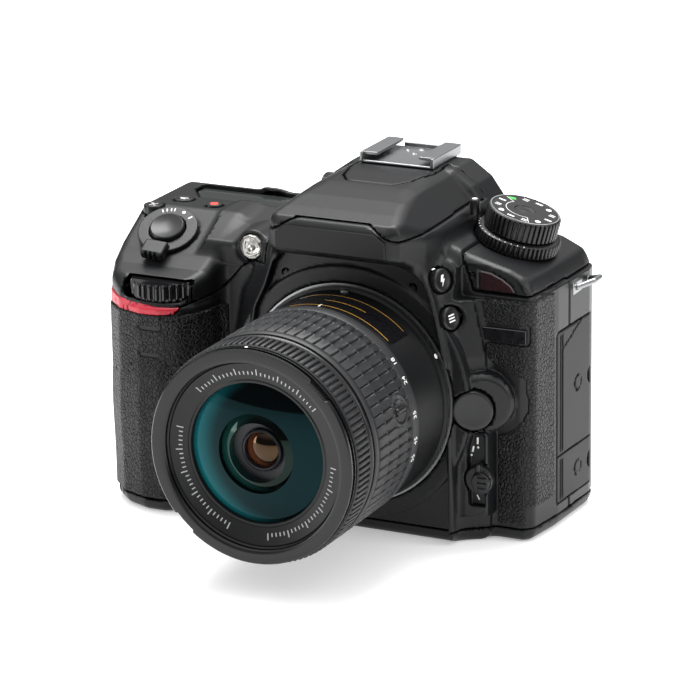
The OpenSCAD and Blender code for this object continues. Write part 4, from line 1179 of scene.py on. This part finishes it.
def lug_field(p):
    """A bent wire loop and its footplate on each side."""
    right_loop = [(54.2, 3.4, 70.4), (56.4, 3.4, 71), (60.4, 6.2, 72.6), (60.4, 10.4, 72.6), (56.4, 13, 71),
                  (54.2, 13, 70.4)]
    left_loop = [(-78.4 - (x - 54.2) * 0.95, y, z) for x, y, z in right_loop]
    d = np.minimum(rod_path(p, right_loop, 0.85), rod_path(p, left_loop, 0.85))
    for lo, hi in (((54.6, 2.2, 68.6), (55.6, 14.2, 72.4)), ((-81.4, 2.2, 68.6), (-80.2, 14.2, 72.4))):
        d = either(d, box_field(p, lo, hi, 0.35), 0.5)
    return d


for side, lo, hi in (("right", (53, 1, 67), (62, 15, 75)), ("left", (-87, 1, 67), (-77, 15, 75))):
    dress(field_object("strap_lug_" + side, lug_field, lo, hi, 0.32),
          "body", "steel", stands_for="strap_lugs")


# ---- Controls ----

PAD = placed(PAD_C, PAD_AXIS, RIGHT)
DIAL = placed(DIAL_TOP, DIAL_AXIS, RIGHT)


def button(name, to_world, r, low, high, dish=0.25, mark=None, mark_mat="white_mark"):
    """A round button with a soft edge and a dished top, and a flat mark on it."""
    profile = [(r, low), (r, high - 0.45), (r - 0.18, high - 0.14), (r - 0.5, high)]
    profile += [((r - 0.5) * k, high - dish * (1 - k * k)) for k in (0.85, 0.6, 0.35, 0.05)]
    dress(turned(name, profile, to_world, 56), name, "button_plastic", stands_for=name)
    if mark:
        flat = marks(name + "_mark", mark, high - dish - 0.02, high - dish + 0.1, to_world)
        dress(flat, name, mark_mat, "button_plastic")


def polar(r, degrees):
    """A place on a round face, its angle clockwise from the back."""
    return r * math.sin(math.radians(degrees)), r * math.cos(math.radians(degrees))


def switch_field(p):
    """The power switch: a ring round the shutter button, and a ribbed lever in front."""
    q = in_frame(p, PAD_C, RIGHT, PAD_AXIS)
    x, y, z = q.T
    r = np.hypot(x, y)
    ring = both(r - 9.2, between(z, 0.2, 1.55), 0.35)
    lever = both(box_field(q, (-3.7, -12.3, 0.3), (3.7, -6.6, 3.7), 0.8), 6.2 - r)
    lever = less(lever, rod_field(q, 0, (-3.0, 6.9), 5.2, -5, 5))
    for gx in (-1.5, 0, 1.5):
        lever = less(lever, box_field(q, (gx - 0.28, -13, -0.4), (gx + 0.28, -11.7, 4), 0.1), 0.15)
    return less(either(ring, lever, 0.5), r - 5.65, 0.2)


dress(field_object("power_switch", switch_field, (-80, -34, 70), (-54, -9, 90), 0.42),
      "power_switch", "cover_plastic", stands_for="power_switch")
pad_marks = [disc(*polar(7.6, 18), 0.55), bar(*polar(6.9, 42), *polar(8.3, 42), 0.5)]
pad_marks += [bar(*polar(7.0, a), *polar(8.2, a), 0.35) for a in (-6, -14, -24, -34)]
dress(marks("switch_marks", pad_marks, 1.53, 1.6, PAD), "power_switch", "white_mark", "cover_plastic")

SIGN_EV = [bar(-1.3, 0.9, -0.3, 0.9, 0.35), bar(-0.8, 0.4, -0.8, 1.4, 0.35), bar(0.2, -0.9, 1.2, -0.9, 0.35),
           bar(-0.9, -1.2, 0.9, 1.2, 0.22)]
SIGN_ISO = [bar(-1.4, 0.2, 1.4, 0.2, 0.4), bar(-0.8, -0.8, 0.8, -0.8, 0.3)]
SIGN_FLASH = [[(-0.2, 1.6), (0.9, 1.6), (0.25, 0.35), (0.95, 0.35), (-0.7, -1.8), (-0.1, -0.25),
               (-0.85, -0.25)]]
SIGN_BRACKET = [bar(-1.2, y, 1.2, y, 0.42) for y in (0.9, 0, -0.9)]
button("shutter_button", PAD, 5.25, -1.2, 2.8, 0.75)
button("ev_button", placed(EV_AT, UP, RIGHT), 3.1, -1.5, 1.3, mark=SIGN_EV)
button("iso_button", placed(ISO_AT, UP, RIGHT), 3.1, -1.5, 0.8, mark=SIGN_ISO)
button("record_button", placed(RECORD_AT, UP, RIGHT), 2.6, -1.5, 1.0, mark=[disc(0, 0, 1.35)],
       mark_mat="red_mark")
button("dial_lock_button", placed((27, -4, 94), UP, RIGHT), 1.5, -2.2, 2.4, 0.05, [disc(0, 0, 0.8)])
button("flash_button", placed(FLASH_AT, FLANK_AXIS, BACKWARD), 3.45, -1.6, 0.75, mark=SIGN_FLASH)
button("bracket_button", placed(BRACKET_AT, FLANK_AXIS, BACKWARD), 3.45, -1.6, 0.75, mark=SIGN_BRACKET)
button("lens_release_button", placed(RELEASE_AT, RELEASE_AXIS, RELEASE_SIDE), 5.9, -1.6, 1.5, 0.35)

# Mode dial over the release-mode dial.
MODE_H = 6.2
MODE_RIBS, RELEASE_RIBS = 44, 54
dress(turned("mode_dial", [
    (2.6, -16.5), (2.6, -MODE_H - 0.2), (10.6, -MODE_H), (10.95, -MODE_H + 0.3), (10.98, -0.9), (10.7, -0.35),
    (10.45, -0.1), (10.2, 0.0), (9.9, -0.02), (9.75, -0.16), (3.3, -0.16), (3.1, -0.4), (2.2, -0.55),
    (1.0, -0.35), (0.1, -0.3)], DIAL, MODE_RIBS * 8,
    wave=lambda t, r, h: r + (r > 10.9) * ribs(t, MODE_RIBS, 0.8, 0.6, 0.14)),
    "mode_dial", "dial_plastic", stands_for="mode_dial")
dress(turned("dial_rim", [(10.32, -0.06), (10.34, 0.05), (10.1, 0.09), (9.95, 0.04), (9.95, -0.06)],
             DIAL, 128, ring=True), "mode_dial", "bright", "dial_plastic")
dress(turned("release_dial", [
    (2.75, -16.6), (3.5, -16.6), (3.5, -10.5), (12.3, -10.4), (12.55, -10.1), (12.55, -7.5), (12.3, -7.0),
    (11.9, -6.7), (8, -6.6), (2.75, -6.6)], DIAL, RELEASE_RIBS * 8, ring=True,
    wave=lambda t, r, h: r + (r > 12.4) * ribs(t, RELEASE_RIBS, 0.75, 0.55, 0.14)),
    "release_dial", "dial_plastic", stands_for="release_dial")

# Twelve plain signs round the mode dial, one of them green; an arc with two spokes joins some of them.
dial_marks, green_marks = [], []
for i in range(12):
    u, v = polar(8.0, 30 * i + 8)
    if i == 10:
        green_marks.append(bar(u - 0.9, v - 0.4, u + 0.9, v + 0.4, 1.5))
    elif i % 3 == 0:
        dial_marks.append(bar(u - 1.1, v, u + 1.1, v, 0.75))
    elif i % 3 == 1:
        dial_marks.append(disc(u, v, 0.85))
    else:
        dial_marks += [bar(u - 0.9, v + dv, u + 0.9, v + dv, 0.35) for dv in (0.5, -0.5)]
ARC_R, ARC_FROM, ARC_TO = 5.7, 150, 300
dial_marks += [bar(*polar(ARC_R, a), *polar(ARC_R, a + 6), 0.16) for a in range(ARC_FROM, ARC_TO, 6)]
dial_marks += [bar(*polar(ARC_R, a), *polar(9.4, a), 0.18) for a in (ARC_FROM, ARC_TO)]
ring_marks = [bar(*polar(11.55, a), *polar(12.25, a), 0.32) for a in range(150, 261, 9)]
dress(marks("dial_marks", dial_marks, -0.17, -0.09, DIAL), "mode_dial", "white_mark", "dial_plastic")
dress(marks("dial_green", green_marks, -0.17, -0.09, DIAL), "mode_dial", "green_mark", "dial_plastic")
dress(marks("ring_marks", ring_marks, -6.98, -6.72, DIAL), "release_dial", "white_mark", "dial_plastic")


def wheel(name, at, r, n):
    """A flat ribbed wheel 5 mm thick."""
    profile = [(0.5, 0), (r - 0.5, 0), (r - 0.05, 0.5), (r, 1.0), (r, 4.0), (r - 0.05, 4.5), (r - 0.5, 5),
               (0.5, 5)]
    dress(turned(name, profile, placed(at, UP, RIGHT), n * 10,
                 wave=lambda t, q, h: q + (q > r - 0.1) * ribs(t, n, 0.95, 0.5, 0.22)),
          name, "gloss_black", "dial_plastic", name)


wheel("front_dial", (*FRONT_WHEEL, 65.6), 10.4, 30)
wheel("rear_dial", (*REAR_WHEEL, 66.2), 10.6, 34)
dress(turned("diopter_dial", [(1.5, -4), (1.5, 0), (4.0, 0), (4.2, 0.2), (4.2, 2.6), (3.9, 3.0), (2.4, 3.0),
                              (2.2, 2.7), (0.1, 2.7)], placed((-27.15, 14, 90), LEFT, BACKWARD), 160,
             wave=lambda t, r, h: r + (r > 4.1) * ribs(t, 20, 0.4, 0.55, 0.2)),
      "diopter_dial", "dial_plastic", stands_for="diopter_dial")


def lever_field(p):
    """Focus lever: a round hub, a ribbed knob and a short arm up to its marks."""
    x, y, z = p.T
    hub = both(np.hypot(x - LEVER_X, z - LEVER_Z) - 4.3, between(y, -32, -29.6), 0.5)
    knob = both(np.hypot(x - 41.4, z - LEVER_Z) - 2.9, between(y, -33.9, -30), 0.6)
    arm = both(box_field(p, (39.4, -32.9, 20), (41, -30, 25.6), 0.5), y + 30)
    d = either(either(hub, knob, 0.3), arm, 0.3)
    for gz in (18.9, 20.5, 22.1):
        d = less(d, box_field(p, (40.3, -34.5, gz - 0.2), (43.4, -33.6, gz + 0.2), 0.05), 0.1)
    return d


dress(field_object("focus_lever", lever_field, (35, -35, 15), (45.5, -29, 28), 0.3),
      "focus_lever", "button_plastic", stands_for="focus_lever")
lever_marks = [bar(-1.3, 10.2, -1.2, 12.2, 0.55), disc(-1.1, 9.2, 0.32), bar(-2.9, 7.6, -2.5, 9.4, 0.5),
               disc(-3.2, 6.6, 0.3), bar(-1.5, -5.4, -0.8, -6.8, 0.35)]
dress(marks("lever_marks", lever_marks, -0.05, 0.12, placed((LEVER_X, -29.5, LEVER_Z), FORWARD, RIGHT)),
      "body", "white_mark", "button_plastic")


# ---- Display, doors, covers and the rear ----

dress(slab("top_display", [(-72.8, 16.4), (-73, 11.6), (-66.8, 3.1), (-28, 3.1), (-28, 16.4)], 83.5, 84.1,
           placed((0, 0, 0), UP, RIGHT), 0.3), "body", "display_window", "display_grey", "top_display")


def door(name, lo, hi, mat, slot=None, lift=0.0, grooves=None):
    """A door that carries on the body's outer form inside a box; its name is also its body's."""
    def field(p):
        d = body_field(p) - lift
        d = both(both(d, -d - 1.7), box_field(p, lo, hi), 0.35)
        return grooves(p, d)
    obj = field_object(name, field, [v - 2 for v in lo], [v + 2 for v in hi], CELL * 0.85)
    dress(obj, name, mat, slot, name)


def port_lines(z0, z1, slanted):
    """Two upright grooves at the hinge edge, perhaps a slanted one above, a finger lip and a plain ring."""
    middle = (z0 + z1) / 2

    def change(p, d):
        x, y, z = p.T
        outer = np.abs(x - 55.2) - 0.75
        for gy in (-6.3, -4.9):
            groove = np.maximum(np.abs(y - gy) - 0.17, np.abs(z - middle) - (z1 - z0) / 2 + 1.2)
            d = less(d, both(groove, outer), 0.12)
        if slanted:
            rise = z - (z1 - 6.2) - 0.42 * (y + 6)
            d = less(d, both(np.maximum(np.abs(rise) - 0.17, -y - 5), outer), 0.12)
        d = less(d, both(np.abs(np.hypot(y - 6.0, z - middle) - 2.2) - 0.14, outer), 0.08)
        return less(d, both(np.hypot(y - 15.2, z - middle) - 2.6, outer - 0.2), 0.3)
    return change


door("port_cover_upper", (50, -8.5, 22.1), (57, 15, 60), "soft_rubber", "rubber_grain",
     grooves=port_lines(22.1, 60, True))
door("port_cover_lower", (50, -8.5, 7.5), (57, 15, 21.9), "soft_rubber", "rubber_grain",
     grooves=port_lines(7.5, 21.9, False))


def card_lines(p, d):
    """Three finger grooves."""
    x, y, z = p.T
    for gz in (33, 35, 37):
        d = less(d, both(np.maximum(np.abs(z - gz) - 0.3, np.abs(y - 10.6) - 2.2), np.abs(x + 81) - 0.9), 0.2)
    # Room for the door's edge to turn beside its hinge.
    return less(d, np.maximum(x + 80.35, y + 9.2), 0.3)


door("card_door", (-84, -12, 14), (-76, 15, 56), "rubber_grain", lift=0.6, grooves=card_lines)


def battery_lines(p, d):
    """Sunk latch of the battery door."""
    return less(d, box_field(p, (-74.5, -29, -2), (-70, -21, 0.7), 0.3), 0.2)


door("battery_door", (-76, -38, 0), (-50.4, -12, 8), "cover_plastic", grooves=battery_lines)


def panel_field(p):
    """The screen's frame: a plate with a shallow window and a finger notch below it."""
    x, y, z = p.T
    d = both(poly_field(x, z, rect(-36, 8.5, 42, 63.9), 2.5), between(y, 19.8, 25), 0.5)
    d = less(d, both(poly_field(x, z, rect(-31.6, 11.4, 37.6, 61), 1), 24.55 - y), 0.15)
    notch = both(np.abs(x - 3) - 9, between(z, 7.9, 9.6))
    return less(d, notch + np.maximum(0, 23.6 - y), 0.3)


dress(field_object("lcd_panel", panel_field, (-37, 19, 8), (43, 26, 65)),
      "lcd_panel", "cover_plastic", "screen_glass", "lcd_panel")
for name, outline, low, high, edge, body, mat, slot in (
        ("screen_well", rect(39.5, 2.6, -45.5, 66.4), 16.1, 17.2, 0.12, "body", "frame_plastic",
         "cover_plastic"),
        ("lcd_window", rect(31.4, 11.6, -37.4, 60.8), 24.2, 24.85, 0.15, "lcd_panel", "screen_glass", None),
        ("lcd_picture", rect(28.6, 15.6, -34.6, 58), 24.6, 24.87, 0.02, "lcd_panel", "picture_area",
         "screen_glass"),
        ("eyepiece_frame", rect(-12, 74, 12, 87), 13.9, 14.6, 0.1, "body", "gloss_black", "frame_plastic")):
    dress(slab(name, outline, low, high, BACK, edge), body, mat, slot)


def eyecup_field(p):
    """A soft frame with a wider lip, a funnel to the eyepiece, and short ribs along its foot."""
    x, y, z = p.T
    base = both(poly_field(x, z, rect(-17, 69.5, 17, 91.5), 5), between(y, 20.1, 24.5), 0.3)
    lip = poly_field(x, z, rect(-18.5, 68.5, 18.5, 92.5), 7)
    d = either(base, both(lip + 0.5, between(y, 23.4, 28.4), 1.3), 0.8)
    throat = poly_field(x, z, rect(-11.5, 73.5, 11.5, 87.5), 3)
    d = less(d, throat - np.clip(y - 23.6, 0, 5) * 0.62, 0.6)
    ribs_x = np.abs((x / 2.2) % 1 - 0.5) * 2.2 - 0.25
    return less(d, both(np.maximum(ribs_x, np.abs(x) - 12), np.maximum(np.abs(z - 69.7) - 0.5, 25 - y)), 0.15)


dress(field_object("eyecup", eyecup_field, (-19, 19.5, 68), (19, 29, 93), 0.55),
      "body", "soft_rubber", "rubber_grain", "eyecup")

REAR_FACE = 20
CAP = [(2.9, -3.0), (2.9, 1.1), (2.75, 1.42), (2.5, 1.6), (1.9, 1.52), (0.9, 1.42), (0.05, 1.4)]
caps = [turned(f"rear_cap_{i}", CAP, placed((x, REAR_FACE, z), BACKWARD, LEFT), 48)
        for i, (x, z) in enumerate(REAR_BUTTONS)]
dress(joined("rear_buttons", caps), "rear_buttons", "button_plastic", stands_for="rear_buttons")


def rear_sign(kind, u, v):
    """Plain signs: a line, two lines, a dot, an upright line, a dot over a line."""
    def line(dv):
        return bar(u - 1, v + dv, u + 1, v + dv, 0.3)
    return ([line(0)], [line(0.5), line(-0.5)], [disc(u, v, 0.7)], [bar(u, v - 1, u, v + 1, 0.3)],
            [disc(u, v + 0.5, 0.45), line(-0.7)])[kind]


signs = [shape for i, (x, z) in enumerate(REAR_BUTTONS) for shape in rear_sign(i % 5, -x, z)]
dress(marks("rear_marks", signs, 21.36, 21.5, BACK), "rear_buttons", "white_mark", "button_plastic")

SELECT = placed((SELECT_X, REAR_FACE, SELECT_Z), BACKWARD, LEFT)
dress(turned("multi_selector", [
    (2.3, -1.3), (2.3, 0.9), (8.1, 0.9), (8.55, 1.2), (8.6, 2.1), (8.2, 2.7), (7.4, 3.0), (5.2, 2.6),
    (3.9, 2.2), (3.7, 1.9), (3.5, 2.2), (3.3, 2.7), (2.6, 2.85), (0.1, 2.8)], SELECT, 96),
    "multi_selector", "button_plastic", stands_for="multi_selector")
ARROW = np.array([(6.9, 0), (5.9, 0.8), (5.9, -0.8)])
arrows = []
for a in np.radians((0, 90, 180, 270)):
    arrows.append(ARROW @ np.array([(math.cos(a), math.sin(a)), (-math.sin(a), math.cos(a))]))
dress(marks("selector_marks", arrows, 2.72, 3.02, SELECT), "multi_selector", "white_mark", "button_plastic")


# ---- Stage, lights and camera ----


def camera_basis(azimuth, elevation, roll):
    """Right, up and back unit vectors of a view."""
    a, e, r = (math.radians(v) for v in (azimuth, elevation, roll))
    back = Vector((math.sin(a) * math.cos(e), -math.cos(a) * math.cos(e), math.sin(e)))
    right = Vector((math.cos(a), math.sin(a), 0))
    up = back.cross(right)
    return right * math.cos(r) + up * math.sin(r), up * math.cos(r) - right * math.sin(r), back


def add_area(name, at, target, size, power):
    light = bpy.data.lights.new(name, "AREA")
    light.shape = "RECTANGLE"
    light.size, light.size_y = size
    light.energy = power
    obj = linked(name, light)
    obj.location = at
    obj.rotation_euler = (Vector(target) - Vector(at)).to_track_quat("-Z", "Y").to_euler()


AZIMUTH, ELEVATION, ROLL = 26.04, 17.59, -0.87
DISTANCE = 1.1  # metres
right, up, back = camera_basis(AZIMUTH, ELEVATION, ROLL)
reference = Vector((0, -20, 48)) * MM
aim = reference - right * 5.7 * MM + up * 3.36 * MM
cam = bpy.data.cameras.new("camera")
cam.sensor_width = 36
cam.lens = 192.6
cam.dof.use_dof = False
camera = linked("camera", cam)
turn = Matrix((right, up, back)).transposed().to_4x4()
camera.matrix_world = Matrix.Translation(aim + back * DISTANCE) @ turn
bpy.context.scene.camera = camera

FLOOR = 3000.0
corners = np.array([(-FLOOR, -FLOOR, 0), (FLOOR, -FLOOR, 0), (FLOOR, FLOOR, 0), (-FLOOR, FLOOR, 0)])
floor = make_mesh("floor", corners, np.array([[0, 1, 2, 3]]))
floor.data.materials.append(material("floor_white", (0.86, 0.86, 0.86), 0.7))
glow = floor.data.materials[0].node_tree.nodes["Principled BSDF"]
glow.inputs["Emission Color"].default_value = (1, 1, 1, 1)
glow.inputs["Emission Strength"].default_value = 0.34

# A studio dome: dim at the horizon, bright overhead.
world = bpy.data.worlds.new("world")
bpy.context.scene.world = world
world.use_nodes = True
nodes, links = world.node_tree.nodes, world.node_tree.links
place = nodes.new("ShaderNodeTexCoord").outputs["Generated"]
split = nodes.new("ShaderNodeSeparateXYZ")
links.new(place, split.inputs[0])
rise = nodes.new("ShaderNodeMapRange")
links.new(split.outputs["Z"], rise.inputs["Value"])
for name, value in (("From Min", 0.25), ("From Max", 0.75), ("To Min", 0.1), ("To Max", 1.7)):
    rise.inputs[name].default_value = value
nodes["Background"].inputs["Color"].default_value = (1, 1, 1, 1)
links.new(rise.outputs["Result"], nodes["Background"].inputs["Strength"])

add_area("key", (-0.12, 0.22, 0.95), (0, 0, 0.06), (0.7, 0.5), 14)
add_area("side", (0.85, 0.05, 0.4), (0.03, -0.01, 0.05), (0.3, 0.5), 2.4)
add_area("left", (-0.62, -0.5, 0.17), (-0.02, -0.09, 0.043), (0.16, 0.34), 1.5)

bpy.context.scene.view_settings.view_transform = "Standard"
